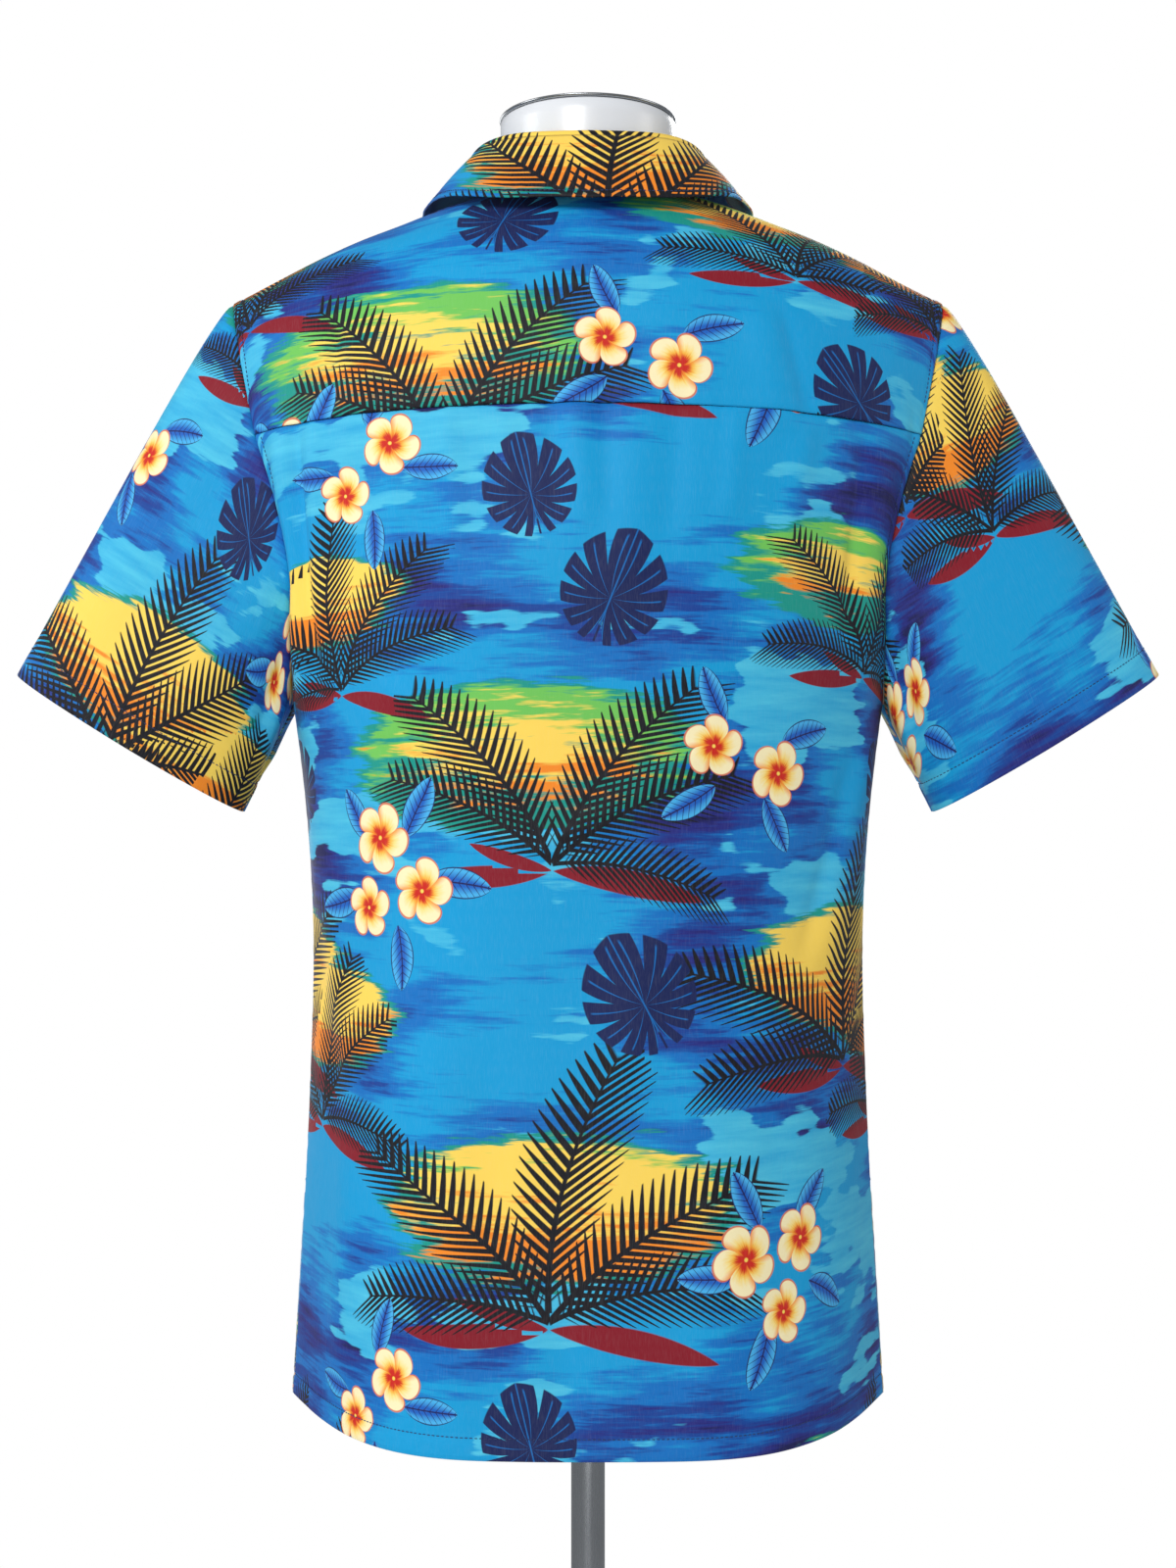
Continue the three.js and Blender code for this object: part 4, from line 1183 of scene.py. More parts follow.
neck_turn = coarse_turn(np.arange(len(rim_s)))
neck_s, neck_level = place_in_plan(NECK_HALF_WIDTH * np.sin(neck_turn),
                                   NECK_CENTRE_Y + NECK_BACK_REACH * np.cos(neck_turn))
FIRST_SPOKES = ARMHOLE_SPOKES // 6
end_share = np.clip(np.minimum(np.arange(len(rim_s)), np.arange(len(rim_s))[::-1]) / FIRST_SPOKES, 0, 1)
neck_s = lerp(np.sign(neck_turn) * FRONT_NECK_S, neck_s, end_share)
neck_level = lerp(4 - NECK_SEAM_LEVEL, neck_level, end_share)
ring_share = spaced(0, 1, YOKE_RINGS, 0.004)[None, :]
yoke_s = lerp(neck_s[:, None], rim_s[:, None], ring_share)
yoke_level = lerp(neck_level[:, None], rim_level[:, None], ring_share)


def yoke_relief(edges, base, u):
    spoke = np.arange(base.shape[0])[:, None]
    last = ARMHOLE_SPOKES + SEAM_SPOKES
    at_seam = (smooth_step(ARMHOLE_SPOKES - 1, ARMHOLE_SPOKES + 1, spoke)
               * smooth_step(last + 1, last - 1, spoke))
    seam = 0.35 * smooth_step(7, 5, edges.back) + puckers(edges.back, u, 5, 0.5, 12, 13)
    armhole = armhole_edge(edges.back, base[..., 1], 21)
    fronts = seam_dip(np.minimum(edges.up, edges.down), 0.6, 1.8)
    return lerp(armhole, seam, at_seam) + fronts + seam_dip(edges.across, 0.5)


yoke = add_body_panel("yoke", fine_cloth, yoke_s, yoke_level, 1, yoke_relief)


# Fronts

FRONT_STITCH = 5
FRONT_COLUMNS = 80
LOW_ROWS = 196
HIGH_ROWS = 64


def front_places():
    """The rows below the open neck start at the lap, and those above it along the lapel's roll."""
    across = spaced(0, 1, FRONT_COLUMNS, 0.002)[None, :]
    low_level = level_of(spaced(HEM_Z, nominal_height(BREAK_LEVEL), LOW_ROWS, 0.0009))[:-1, None]
    low_inner = share_across(-FRONT_LAP, low_level)
    high = spaced(0, 1, HIGH_ROWS, 0.003)[:, None]
    high_inner, high_inner_level = roll_place(high)
    high_outer_level = lerp(BREAK_LEVEL, FRONT_ARMHOLE_LEVEL, high)
    s = np.concatenate([lerp(low_inner, 1, across), lerp(high_inner, 1, across)])
    level = np.concatenate([low_level + 0 * across, lerp(high_inner_level, high_outer_level, across)])
    return s, level


def front_relief(edges, base, u):
    placket = turned_hem(edges.across, base[..., 2], 31, FRONT_STITCH, 0.3)
    opening = smooth_step(nominal_height(BREAK_LEVEL) + 6, nominal_height(BREAK_LEVEL) - 6, base[..., 2])
    return (turned_hem(edges.up, u, 7, HEM_WIDTH) + seam_dip(edges.down, 0.7, 2)
            + puckers(edges.down, u, 9, 0.3) + placket * opening + side_relief(edges.back, base, 15))


front_s, front_level = front_places()
front_left = add_body_panel("front_left", lapped(fine_cloth), front_s, front_level, -1, front_relief)
front_right = add_body_panel("front_right", fine_cloth, -front_s, front_level, -1, front_relief)


# Facings turned out as lapels, which roll over from the fronts' edges

LAPEL_POINT = (98, 1.4)
LAPEL_NOTCH = (69, 1.525)
LAPEL_BEND = 0.4
LAPEL_LIFT = LAYER + 0.4
LAPEL_TOP_MARGIN = 0.012
LAPEL_END_WIDTH = 0.035
LAPEL_ROWS = 60
LAPEL_COLUMNS = 40
ROLL_STEPS = 7


def lapel_places(low_end):
    """The share across and the level of each point of a lapel, from its roll to its outer edge."""
    down = spaced(0, 1, LAPEL_ROWS, 0.004)[:, None]
    share = spaced(0, 1, LAPEL_COLUMNS, 0.006)[None, :]
    notch = (share_at(*LAPEL_NOTCH), LAPEL_NOTCH[1])
    point = (share_at(*LAPEL_POINT), LAPEL_POINT[1])
    top_share = 1 - GORGE_SHARE - LAPEL_TOP_MARGIN
    top = [float(value) for value in roll_place(np.float64(top_share))]
    low = [float(value) for value in roll_place(np.float64(1 - low_end))]
    low_outer = (low[0] + LAPEL_END_WIDTH, low[1])
    inner = roll_place(lerp(top_share, 1 - low_end, down))
    keep = (1 - down) ** 2
    found = []
    for k in (0, 1):
        first = lerp(top[k], notch[k], share / LAPEL_BEND)
        second = lerp(notch[k], point[k], (share - LAPEL_BEND) / (1 - LAPEL_BEND))
        top_edge = np.where(share < LAPEL_BEND, first, second)
        outer = lerp(point[k], low_outer[k], down)
        found.append(lerp(inner[k], outer, share) + keep * (top_edge - lerp(top[k], point[k], share)))
    return found


def add_lapel(name, front, hand, low_end):
    s, level = lapel_places(low_end)
    s = s * hand
    base = front(s, level, -1)
    facing = normal_of(front, s, level, -1)
    share = np.linspace(0, 1, s.shape[1])[None, :]
    edges = Edges(base)
    away = np.minimum(np.minimum(edges.back, edges.up), edges.down)
    raised = LAPEL_LIFT + 1.6 * np.sin(math.pi * share) ** 2 * smooth_step(0, 30, edges.up)
    raised = raised + 1.2 * share ** 3 + turned_hem(away, edges.up + edges.across, 41, FRONT_STITCH, 0.3)
    shown = base + facing * raised[..., None]
    inner = shown[:, :1]
    outward = unit(inner - shown[:, 3:4])
    radius = LAPEL_LIFT * 0.62
    roll = []
    for k in range(ROLL_STEPS, 0, -1):
        turn = math.pi * k / ROLL_STEPS
        roll.append(inner + outward * radius * math.sin(turn)
                    - facing[:, :1] * radius * (1 - math.cos(turn)))
    grid = np.concatenate(roll + [shown], axis=1)
    wanted = np.concatenate([facing[:, :1] * 0 for _ in range(ROLL_STEPS)] + [facing], axis=1)
    flat_u, flat_v = flat_place(flat_before, s, level)
    rolled = radius * math.pi * np.arange(ROLL_STEPS, 0, -1) / ROLL_STEPS
    u = np.concatenate([flat_u[:, :1] - hand * rolled, flat_u], axis=1)
    v = np.concatenate([flat_v[:, :1] + 0 * rolled, flat_v], axis=1)
    return add_panel(name, grid, wanted, 0.9, u, v)


facing_left = add_lapel("facing_left", lapped(fine_cloth), 1, 0.97)
facing_right = add_lapel("facing_right", fine_cloth, -1, 0.77)


# Sleeves

SLEEVE_COLUMNS = 150
SLEEVE_ROWS = 92
SLEEVE_HEM = 20
SLEEVE_BULGE = 4.5
SLEEVE_OUTWARD = np.array([0.87, 0, 0.5])
HALF_ROUND = 200
SHOULDER_COLUMN = 76

# Folds of a sleeve: where round it, from where to where along it, how wide (mm) and how high.
# Round it, 0 is the underarm, 0.5 the middle of its back and 1 the shoulder.
SLEEVE_FOLD_COLUMNS = "start_round end_round start end width height".split()
sleeve_folds = [
    (0.16, 0.10, 0.02, 0.62, 10, 2.6),
    (0.27, 0.19, 0.03, 0.45, 8, -1.8),
    (0.40, 0.46, 0.25, 0.95, 22, 1.6),
    (0.62, 0.60, 0.12, 0.75, 18, -1.3),
    (0.86, 0.84, 0.04, 0.55, 14, 1.2),
    (1.20, 1.24, 0.05, 0.70, 16, -1.4),
    (1.48, 1.40, 0.20, 0.90, 20, 1.8),
    (1.74, 1.80, 0.03, 0.55, 10, -1.9),
    (1.86, 1.92, 0.02, 0.60, 10, 2.4),
]


def armhole(around):
    up = np.where(around <= 1, around, 2 - around)
    rise = 1 - np.cos(np.minimum(up / YOKE_SEAM_SHARE, 1) * math.pi / 2)
    low_level = level_of(lerp(UNDERARM_Z, YOKE_Z, rise))
    high_level = 1 + (up - YOKE_SEAM_SHARE) / (1 - YOKE_SEAM_SHARE)
    level = np.where(up <= YOKE_SEAM_SHARE, low_level, high_level)
    behind = torso(np.ones_like(level), level, 1)
    before = torso(np.ones_like(level), level, -1)
    return np.where((around <= 1)[..., None], behind, before)


def add_sleeve(name, hand):
    around, along = np.meshgrid(spaced(0, 2, SLEEVE_COLUMNS, 0.001), spaced(0, 1, SLEEVE_ROWS, 0.002))
    outer, inner = np.array(CUFF_OUTER, float), np.array(CUFF_INNER, float)
    middle, reach = (outer + inner) / 2, (outer - inner) / 2
    cuff = middle - reach * np.cos(around * math.pi)[..., None]
    cuff[..., 1] = CUFF_HALF_DEPTH * np.sin(around * math.pi)
    high = smooth_step(0.35, 1, np.where(around <= 1, around, 2 - around))
    bulge = SLEEVE_BULGE * np.sin(math.pi * along ** 0.45) * high
    base = lerp(armhole(around), cuff, along[..., None]) + SLEEVE_OUTWARD * bulge[..., None]
    facing = unit(np.cross(np.gradient(base, axis=1), np.gradient(base, axis=0)))
    edges = Edges(base)
    u = edges.across - edges.across[:, [SHOULDER_COLUMN]]
    v = edges.down
    raised = np.zeros(u.shape)
    for row in sleeve_folds:
        fold = dict(zip(SLEEVE_FOLD_COLUMNS, row))
        share = (along - fold["start"]) / (fold["end"] - fold["start"])
        fade = smooth_step(-0.2, 0.25, share) * smooth_step(1.2, 0.75, share)
        away = (around - lerp(fold["start_round"], fold["end_round"], share)) * HALF_ROUND / fold["width"]
        raised += fold["height"] * fade * np.exp(-away * away)
    raised *= smooth_step(0, 14, edges.up)
    raised += turned_hem(edges.down, u, 51, SLEEVE_HEM) + seam_dip(edges.up, 1.0, 3.0)
    raised += puckers(edges.up, u, 53, 0.35, 12, 12) + seam_dip(np.minimum(edges.across, edges.back))
    raised += 0.5 * unevenness(u, v, 57) * smooth_step(0, 25, edges.up)
    shown = base + facing * raised[..., None]
    mirror = np.array([hand, 1, 1])
    return add_panel(name, shown * mirror, facing * mirror, WALL, u * hand, v)


sleeve_left = add_sleeve("sleeve_left", 1)
sleeve_right = add_sleeve("sleeve_right", -1)


# Collar: it stands, folds over and lies down all round the neck

COLLAR_COLUMNS = 176
COLLAR_WALL = 1.4
COLLAR_STITCH = 5
STAND_STEPS = 7
FOLD_STEPS = 10
LEAF_STEPS = 26
MEASURED_COLUMN = -20


def collar_grid():
    at = spaced(-6, 6, COLLAR_COLUMNS, 0.0012)
    read = {name: collar_stations.read(name, np.abs(at)) for name in collar_stations.columns[1:]}
    hand = np.where(at < 0, -1.0, 1.0)
    neck = np.stack([hand * read["neck_x"], read["neck_y"]], axis=-1)
    edge = np.stack([hand * read["edge_x"], read["edge_y"]], axis=-1)
    out = unit(edge - neck)
    bend, stand, lift = read["round"], read["stand"], read["lift"]

    def ground(plan):
        s, level = place_in_plan(plan[..., 0], plan[..., 1])
        return cloth(s, level, 1), normal_of(cloth, s, level, 1)

    foot = ground(neck)[0]
    out_3d = np.concatenate([out, np.zeros((len(at), 1))], axis=1)
    up_3d = np.array([0.0, 0.0, 1.0])
    columns = []
    for k in range(STAND_STEPS):
        columns.append(foot + up_3d * ((stand - bend) * k / STAND_STEPS)[:, None])
    for k in range(FOLD_STEPS + 1):
        turn = k / FOLD_STEPS * math.pi
        columns.append(foot + out_3d * (bend * (1 - math.cos(turn)))[:, None]
                       + up_3d * (stand - bend + bend * math.sin(turn))[:, None])
    start = neck + out * (2 * bend)[:, None]
    start_height = foot[:, 2] + stand - bend - ground(start)[0][:, 2]
    for share in spaced(0, 1, LEAF_STEPS, 0.01)[1:]:
        point, normal = ground(lerp(start, edge, share))
        point = point + normal * (lift * share + 1.4 * math.sin(math.pi * share))[:, None]
        columns.append(point + up_3d * (start_height * (1 - share))[:, None])
    return np.stack(columns, axis=1)


def add_collar():
    base = collar_grid()
    facing = -unit(np.cross(np.gradient(base, axis=1), np.gradient(base, axis=0)))
    edges = Edges(base)
    away = np.minimum(np.minimum(edges.back, edges.up), edges.down)
    along = edges.up
    raised = turned_hem(away, along, 61, COLLAR_STITCH, 0.25)
    fold_at = edges.across[:, STAND_STEPS + FOLD_STEPS // 2:][:, :1]
    raised = raised * smooth_step(0, 8, edges.across - fold_at)
    shown = base + facing * (COLLAR_WALL + raised[..., None])
    measured = along[:, [MEASURED_COLUMN]]
    u = np.broadcast_to(measured - measured[len(measured) // 2], along.shape)
    return add_panel("collar", shown, facing, COLLAR_WALL, u, edges.back)


collar = add_collar()


# Stitching lines, each on the piece that carries it

def row_line(panel, distance, axis, from_end, keep=None):
    line, facing = line_on(panel["shown"], panel["normals"], distance, axis, from_end)
    if keep is not None:
        chosen = keep(line)
        line, facing = line[chosen], facing[chosen]
    return stitch_points(line, facing)


def above_underarm(line):
    return line[:, 2] > UNDERARM_Z + 4


def on_leaf(line):
    return np.arange(len(line)) > STAND_STEPS + FOLD_STEPS + 1


def below_break(line):
    return line[:, 2] < nominal_height(BREAK_LEVEL) - 4


stitching = {
    "back": [
        row_line(back, HEM_WIDTH, 0, False),
        row_line(back, ARMHOLE_STITCH, 1, False, above_underarm),
        row_line(back, ARMHOLE_STITCH, 1, True, above_underarm),
    ],
    "front_left": [
        row_line(front_left, HEM_WIDTH, 0, False),
        row_line(front_left, FRONT_STITCH, 1, False, below_break),
        row_line(front_left, ARMHOLE_STITCH, 1, True, above_underarm),
    ],
    "front_right": [
        row_line(front_right, HEM_WIDTH, 0, False),
        row_line(front_right, ARMHOLE_STITCH, 1, True, above_underarm),
    ],
    "sleeve_left": [row_line(sleeve_left, SLEEVE_HEM, 0, True)],
    "sleeve_right": [row_line(sleeve_right, SLEEVE_HEM, 0, True)],
    "collar": [
        row_line(collar, COLLAR_STITCH, 1, True),
        row_line(collar, COLLAR_STITCH, 0, False, on_leaf),
        row_line(collar, COLLAR_STITCH, 0, True, on_leaf),
    ],
    "facing_left": [row_line(facing_left, FRONT_STITCH, 1, True)],
    "facing_right": [row_line(facing_right, FRONT_STITCH, 1, True)],
}


def yoke_armhole(first, last):
    line, facing = line_on(yoke["shown"], yoke["normals"], ARMHOLE_STITCH, 1, True)
    return stitch_points(line[first:last], facing[first:last])


stitching["yoke"] = [
    yoke_armhole(2, ARMHOLE_SPOKES - 1),
    yoke_armhole(ARMHOLE_SPOKES + SEAM_SPOKES + 2, len(rim_s) - 2),
]
stitches = {name: stitch_mesh(name + "_stitches", runs, thread_dark) for name, runs in stitching.items()}


# Buttons: four holes, a raised rim and two bars of thread, and a worked buttonhole under each

BUTTON_TOP_Z = 1274
BUTTON_SPACING = 104
BUTTON_COUNT = 5
BUTTON_SEAT = 0.4
BUTTON_WELL = 1.85
HOLE_OFFSET = 1.45
HOLE_RADIUS = 0.62
HOLE_SIDES = 16
THREAD_STEPS = 12
THREAD_SIDES = 10
BUTTONHOLE_BARS = 34
BUTTONHOLE_HALF = 8
BUTTONHOLE_LIP = 0.75
BAR_HALF = 0.7
button_profile = [
    (0, 0), (3.6, 0), (4.7, 0.12), (5.5, 0.5), (5.9, 1.0), (6.0, 1.45), (5.92, 1.9), (5.6, 2.3), (5.1, 2.5),
    (4.6, 2.48), (4.15, 2.25), (3.7, 1.95), (3.0, BUTTON_WELL), (0, BUTTON_WELL),
]


def turned_points(profile, sides):
    turns = [2 * math.pi * k / sides for k in range(sides)]
    return [(radius * math.cos(turn), radius * math.sin(turn), height)
            for radius, height in profile for turn in turns]


def turned_mesh(name, profile, sides, material):
    """A profile of radius and height turned round the upright axis. Its ends lie on the axis."""
    points = turned_points(profile[1:-1], sides)
    rings = len(profile) - 2
    faces = tube_faces(0, rings, sides)
    foot = len(points)
    last = (rings - 1) * sides
    points += [(0, 0, profile[0][1]), (0, 0, profile[-1][1])]
    for k in range(sides):
        faces.append((k, foot, (k + 1) % sides))
        faces.append((last + (k + 1) % sides, foot + 1, last + k))
    return make_mesh(name, points, faces, material)


def lathe(name, profile, sides, material, nodes):
    """A closed ring turned round the stand's axis: the profile of radius and height closes on itself."""
    points = turned_points(profile, sides)
    open_faces = tube_faces(0, len(profile) + 1, sides)
    faces = [tuple(corner % len(points) for corner in face) for face in open_faces]
    piece = new_object(name, make_mesh(name, points, faces, material))
    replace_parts(piece, *nodes)


def solid_lathe(name, profile, sides, material, nodes):
    """A turned piece whose profile starts and ends on the stand's axis."""
    piece = new_object(name, turned_mesh(name, profile, sides, material))
    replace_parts(piece, *nodes)


def rounded(radius, height, size, first, last, steps=5):
    """Points of a rounded corner round a middle, from one direction to another, in degrees."""
    turns = [math.radians(lerp(first, last, k / steps)) for k in range(steps + 1)]
    return [(radius + size * math.cos(t), height + size * math.sin(t)) for t in turns]


def place_button(number, level):
    """Sets one button on the left front and gives its middle and its three directions."""
    seat = lapped(cloth)(np.float64(0), np.float64(level), -1)
    out = normal_of(lapped(cloth), np.float64(0), np.float64(level), -1)
    upward = unit(np.array([0.0, 0.0, 1.0]) - out * out[2])
    sideways = np.cross(upward, out)
    name = f"button_{number}_pearl"
    body = new_object(name, turned_mesh(name, button_profile, 48, button_pearl))
    middle = seat + out * BUTTON_SEAT
    matrix = Matrix([[sideways[k], upward[k], out[k], middle[k] * MM] for k in range(3)] + [[0, 0, 0, 1]])
    cutter_mesh = bpy.data.meshes.new("hole_cutter")
    hole = turned_points([(HOLE_RADIUS, -1.0), (HOLE_RADIUS, 4.0)], HOLE_SIDES)
    points, faces = [], []
    for across, up in ((1, 1), (-1, 1), (-1, -1), (1, -1)):
        faces += closed_tube(len(points), 2, HOLE_SIDES)
        points += [((x + across * HOLE_OFFSET) * MM, (y + up * HOLE_OFFSET) * MM, z * MM)
                   for x, y, z in hole]
    cutter_mesh.from_pydata(points, [], faces)
    cutter = bpy.data.objects.new("hole_cutter", cutter_mesh)
    bpy.context.scene.collection.objects.link(cutter)
    cut = body.modifiers.new("holes", "BOOLEAN")
    cut.operation = "DIFFERENCE"
    cut.object = cutter
    found = body.evaluated_get(bpy.context.evaluated_depsgraph_get())
    body.data = bpy.data.meshes.new_from_object(found)
    body.modifiers.clear()
    bpy.data.objects.remove(cutter)
    body.data.transform(matrix)
    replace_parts(body, f"button_{number}")
    return middle, sideways, upward, out


def thread_arc(first, last, out, height, radius, bulge):
    """A bundle of thread that comes out of one hole, arches over and goes into another."""
    rings = []
    along = unit(last - first)
    across = np.cross(along, out)
    for k in range(THREAD_STEPS + 1):
        share = k / THREAD_STEPS
        rise = math.sin(math.pi * share) ** 0.5
        centre = lerp(first, last, share) + out * (height * rise - (1 - rise) * 0.9)
        lean = math.cos(math.pi * share)
        up = unit(out * max(1 - abs(lean), 0.15) - along * lean)
        turn = np.linspace(0, 2 * math.pi, THREAD_SIDES, endpoint=False)[:, None]
        swell = radius * (1 + bulge * math.sin(math.pi * share))
        rings.append(centre + radius * np.sin(turn) * up + swell * np.cos(turn) * across)
    return np.concatenate(rings)


def button_thread(number, middle, sideways, upward, out):
    points, faces = [], []
    for x in (-1, 1):
        side = sideways * x * HOLE_OFFSET
        top = middle + out * BUTTON_WELL
        faces += closed_tube(sum(len(group) for group in points), THREAD_STEPS + 1, THREAD_SIDES)
        points.append(thread_arc(top + side - upward * HOLE_OFFSET, top + side + upward * HOLE_OFFSET,
                                 out, 0.42, 0.32, 0.5))
    name = f"button_{number}_thread"
    return new_object(name, make_mesh(name, np.concatenate(points), faces, thread_pale))


def buttonhole_runs(level):
    """Close bars of thread across both lips of an upright buttonhole."""
    heights = level + np.linspace(-BUTTONHOLE_HALF, BUTTONHOLE_HALF, BUTTONHOLE_BARS) / (YOKE_Z - HEM_Z)
    runs = []
    front = lapped(fine_cloth)
    for x in (-BUTTONHOLE_LIP, BUTTONHOLE_LIP):
        first_s = share_across((x - BAR_HALF) * np.ones(BUTTONHOLE_BARS), heights)
        last_s = share_across((x + BAR_HALF) * np.ones(BUTTONHOLE_BARS), heights)
        normal = normal_of(front, first_s, heights, -1)
        runs.append((*(front(s, heights, -1) + normal * 0.3 for s in (first_s, last_s)), normal))
    return runs


button_holes = []
button_threads = []
for number in range(1, BUTTON_COUNT + 1):
    button_level = level_of(BUTTON_TOP_Z - (number - 1) * BUTTON_SPACING)
    button_threads.append(button_thread(number, *place_button(number, button_level)))
    button_holes += buttonhole_runs(button_level)
buttonholes = stitch_mesh("buttonhole_stitches", button_holes, thread_dark)


# Dress form

NECK_RADIUS = 57
NECK_TOP_Z = 1497
FORM_ROUND = 2.3
FORM_SEAT = 1.65
FORM_WALL = 1.4
SHOULDER_END = 0.72
STEEPEST_SEAT = 0.35
NECK_ROUND = 1.2
FORM_LOW_Z = 777
FORM_LOW_ROUND = 7
FORM_SIDES = 128


def rounded_power(value):
    return np.sign(value) * np.abs(value) ** (2 / FORM_ROUND)


def form_loop(z, angle):
    deep = np.where(np.sin(angle) >= 0, form_sections.read("back", z), form_sections.read("front", z))
    return np.stack([form_sections.read("half_width", z) * rounded_power(np.cos(angle)),
                     deep * rounded_power(np.sin(angle)), z + 0 * angle], axis=-1)


def form_top(share, angle):
    """The shoulders: they follow the cloth's underside, and round over outside it into the sides."""
    loop = form_loop(np.full(angle.shape, float(YOKE_Z)), angle)
    x = lerp(NECK_RADIUS * np.cos(angle), loop[..., 0], share)
    y = lerp(NECK_RADIUS * np.sin(angle), loop[..., 1], share)
    s, level = place_in_plan(x, y)
    over = torso(s, level, 1)[..., 2]
    facing = normal_of(torso, s, level, 1)
    top = over - (FORM_WALL + FORM_SEAT) / np.maximum(facing[..., 2], STEEPEST_SEAT)
    past = np.clip((share - SHOULDER_END) / (1 - SHOULDER_END), 0, 1)
    return np.stack([x, y, lerp(YOKE_Z, top, np.sqrt(1 - past * past))], axis=-1)


def add_form():
    angle = np.linspace(0, 2 * math.pi, FORM_SIDES, endpoint=False)
    circle = np.stack([np.cos(angle), np.sin(angle), 0 * angle], axis=-1)
    rings = [circle * (NECK_RADIUS - NECK_ROUND) + [0, 0, NECK_TOP_Z]]
    base = form_top(0.0, angle)
    top_edge = circle * NECK_RADIUS + [0, 0, NECK_TOP_Z - NECK_ROUND]
    for share in np.linspace(0, 1, 9):
        rings.append(lerp(top_edge, base, share))
    for share in spaced(0, 1, 46, 0.012)[1:]:
        rings.append(form_top(share, angle))
    for z in np.linspace(YOKE_Z, FORM_LOW_Z, 62)[1:]:
        rings.append(form_loop(np.full(FORM_SIDES, z), angle))
    low = form_loop(np.full(FORM_SIDES, float(FORM_LOW_Z)), angle) * [1, 1, 0]
    for turn in np.linspace(0, math.pi / 2, 7)[1:]:
        ring = low - unit(low) * FORM_LOW_ROUND * (1 - math.cos(turn))
        rings.append(ring + [0, 0, FORM_LOW_Z - FORM_LOW_ROUND * math.sin(turn)])
    faces = [(face[0], *face[:0:-1]) for face in closed_tube(0, len(rings), FORM_SIDES)]
    mesh = make_mesh("dress_form", np.concatenate(rings), faces, form_white)
    mesh.polygons.foreach_set("use_smooth", np.arange(len(faces)) < len(faces) - 2)
    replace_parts(new_object("dress_form", mesh), "form_torso")


add_form()
solid_lathe("neck_plate", [
    (0, 1497.3), (40, 1497.3), (56.6, 1497.3), *rounded(56.9, 1498.4, 0.8, -60, 60, 8), (56.4, 1499.4),
    (40, 1499.5), (0, 1499.5),
], 96, steel_plate, ["form_neck_plate"])

# Stand

solid_lathe("stand_tube", [
    (0, 10.3), (10.4, 10.3), (11, 10.9), *[(11, lerp(10.9, 769.1, k / 12)) for k in range(1, 12)],
    (11, 769.1), (10.4, 769.7), (0, 769.7),
], 48, steel_tube, ["stand_pole"])
lathe("stand_collar", [
    (11.3, 55.4), (11.3, 30), (11.3, 10.3), (22, 10.3), (32.4, 10.3), (33, 10.8), (33, 13),
    *rounded(31, 13.4, 2, 10, 80), (26, 16.6), (21, 18.4), (18.6, 21.5), (17.4, 30), (16.5, 44), (16, 54.6),
    (15.6, 55.6), (14.9, 56), (12, 56),
], 64, steel_plate, ["stand_socket"])
solid_lathe("stand_plate", [
    (0, 0), (120, 0), (185.6, 0), (187.2, 0.5), (188, 1.8), (188, 4), (188, 6.6),
    *rounded(185, 7, 3, 8, 82, 6),
    (183, 10), (120, 10), (60, 10), (0, 10),
], 160, steel_plate, ["stand_base"])


# Sheets: the cut of what shows of each cloth piece, in metres and square metres

SHEET_COLUMNS = "name panel width length area held rests_on".split()
sheets = [
    ("back", back, 0.53, 0.64, 0.30, "draped", "dress_form"),
    ("yoke", yoke, 0.47, 0.30, 0.097, "draped", "dress_form"),
    ("front_left", front_left, 0.29, 0.82, 0.185, "draped", "dress_form"),
    ("front_right", front_right, 0.29, 0.82, 0.185, "draped", "dress_form"),
    ("sleeve_left", sleeve_left, 0.61, 0.28, 0.081, "hung", "yoke_cloth"),
    ("sleeve_right", sleeve_right, 0.61, 0.28, 0.081, "hung", "yoke_cloth"),
    ("collar", collar, 0.53, 0.10, 0.037, "draped", "yoke_cloth"),
    ("facing_left", facing_left, 0.08, 0.145, 0.006, "folded", "front_left_cloth"),
    ("facing_right", facing_right, 0.08, 0.11, 0.0045, "folded", "front_right_cloth"),
]
for row in sheets:
    entry = dict(zip(SHEET_COLUMNS, row))
    entry["name"] == "front_left"


# Camera

camera_data = bpy.data.cameras.new("camera")
camera_data.lens = CAMERA_LENS
camera_data.sensor_width = 36
camera_data.clip_start = 0.05
camera = bpy.data.objects.new("camera", camera_data)
camera.location = CAMERA_PLACE
camera.rotation_euler = (math.pi / 2, 0, math.pi)
bpy.context.scene.collection.objects.link(camera)
bpy.context.scene.camera = camera
bpy.context.scene.view_settings.view_transform = "Standard"


# Light: a white surround, a soft source behind the camera, one before the shirt's front, and weaker ones

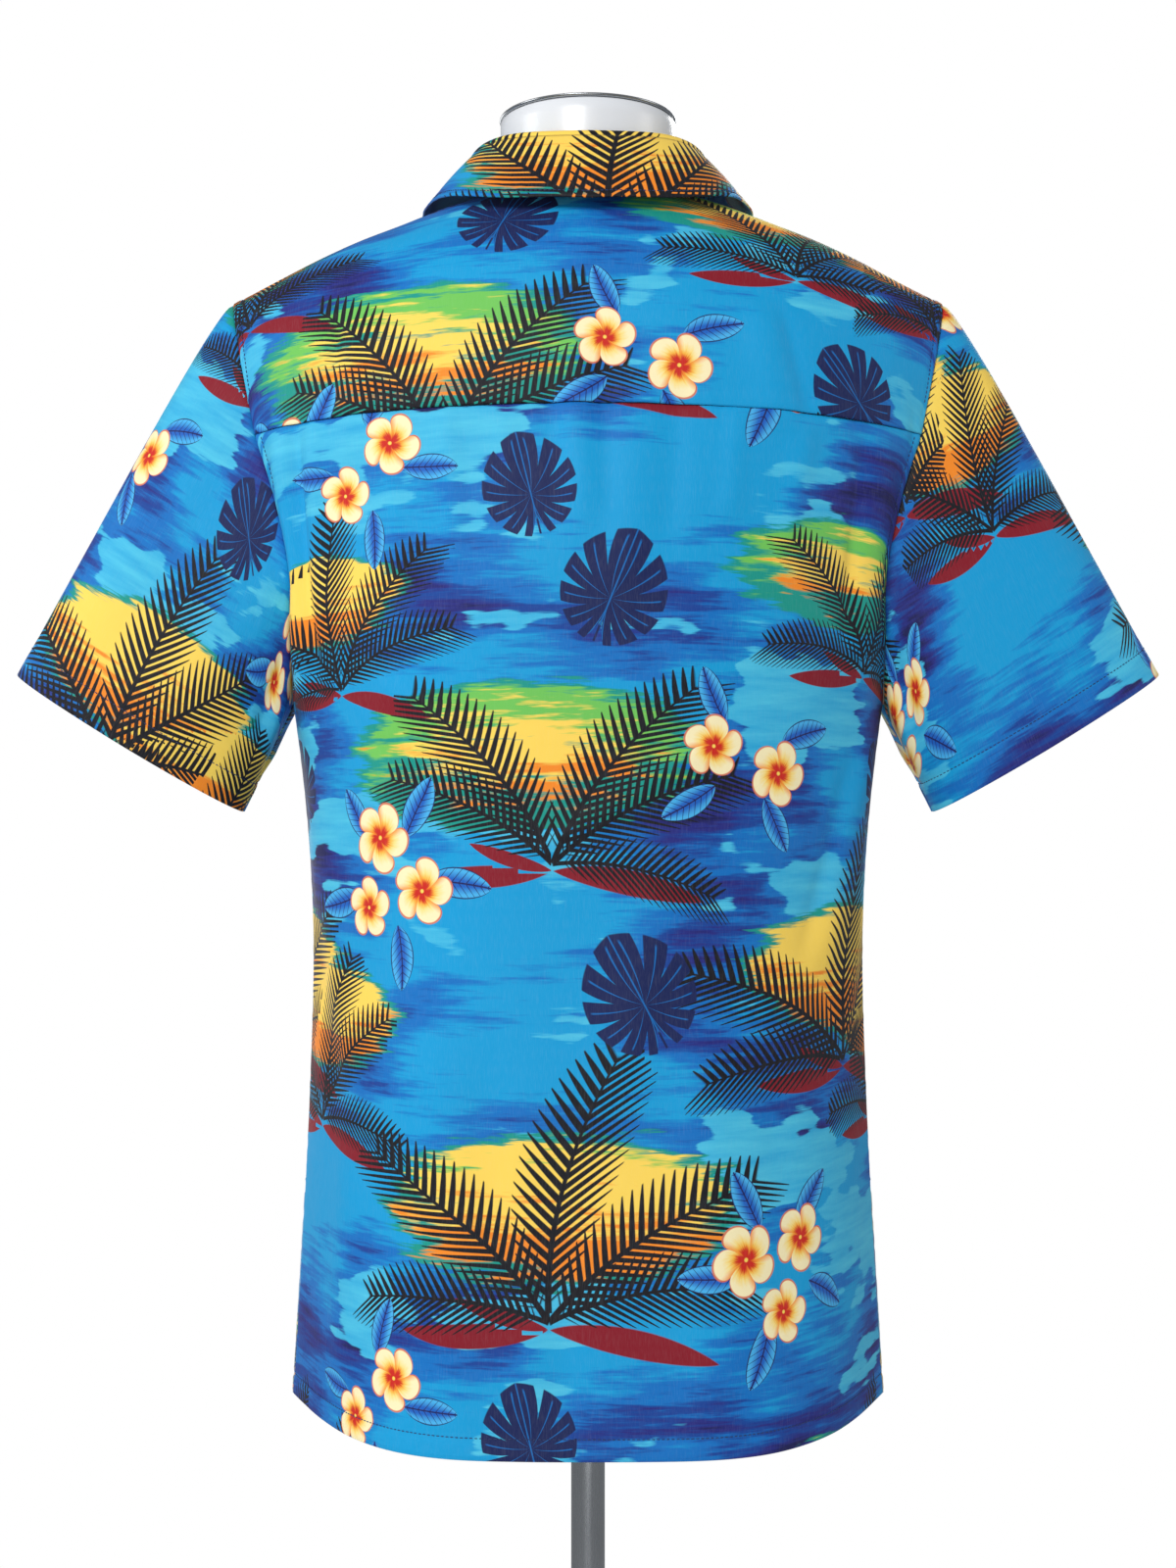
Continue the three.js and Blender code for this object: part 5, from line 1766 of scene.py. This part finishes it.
def make_surround():
    world = bpy.data.worlds.new("surround")
    world.use_nodes = True
    tree = world.node_tree
    lit = tree.nodes["Background"]
    lit.inputs["Color"].default_value = (0.94, 0.97, 1, 1)
    lit.inputs["Strength"].default_value = 0.3
    seen = tree.nodes.new("ShaderNodeBackground")
    seen.inputs["Color"].default_value = (1, 1, 1, 1)
    seen.inputs["Strength"].default_value = 1.0
    path = tree.nodes.new("ShaderNodeLightPath")
    either = tree.nodes.new("ShaderNodeMixShader")
    tree.links.new(path.outputs["Is Camera Ray"], either.inputs[0])
    tree.links.new(lit.outputs[0], either.inputs[1])
    tree.links.new(seen.outputs[0], either.inputs[2])
    tree.links.new(either.outputs[0], tree.nodes["World Output"].inputs["Surface"])
    bpy.context.scene.world = world


def add_light(name, place, wide, high, power):
    data = bpy.data.lights.new(name, "AREA")
    data.shape = "RECTANGLE"
    data.size = wide
    data.size_y = high
    data.energy = power
    light = bpy.data.objects.new(name, data)
    light.location = place
    light.rotation_euler = (Vector(place) - Vector((0, 0, 1.1))).to_track_quat("Z", "Y").to_euler()
    bpy.context.scene.collection.objects.link(light)


make_surround()
add_light("key", (0.9, 2.8, 2.5), 1.1, 1.0, 60)
add_light("low_fill", (0.0, 2.6, 0.5), 1.6, 0.8, 9)
add_light("left_side", (2.5, 0.5, 1.7), 0.9, 1.6, 22)
add_light("right_side", (-2.5, 0.4, 1.7), 0.9, 1.6, 11)
add_light("front_key", (-0.9, -2.9, 2.3), 1.8, 1.5, 52)
add_light("front_fill", (1.6, -2.4, 1.1), 1.2, 1.2, 12)


# Floor: a pale round patch that fades into the surround

FLOOR_RADIUS = 1.3
FLOOR_Z = -0.0005
FLOOR_SIDES = 96


def add_floor():
    mesh = bpy.data.meshes.new("floor")
    points = turned_points([(FLOOR_RADIUS, FLOOR_Z)], FLOOR_SIDES)
    mesh.from_pydata(points, [], [tuple(range(FLOOR_SIDES))])
    shader = Shader("floor_pale")
    x, y, _ = shader.place()
    away = (x * x + y * y).power(0.5)
    shader.set(Base_Color=(0.86, 0.86, 0.86, 1), Roughness=0.8, Specular_IOR_Level=0.2)
    fade = shader.tree.nodes.new("ShaderNodeMixShader")
    clear = shader.tree.nodes.new("ShaderNodeBsdfTransparent")
    shader.tree.links.new(away.over(0.9, 0.7).socket, fade.inputs[0])
    shader.tree.links.new(shader.surface.outputs[0], fade.inputs[1])
    shader.tree.links.new(clear.outputs[0], fade.inputs[2])
    output = shader.tree.nodes["Material Output"]
    shader.tree.links.new(fade.outputs[0], output.inputs["Surface"])
    mesh.materials.append(shader.material)
    floor = bpy.data.objects.new("floor", mesh)
    bpy.context.scene.collection.objects.link(floor)


add_floor()
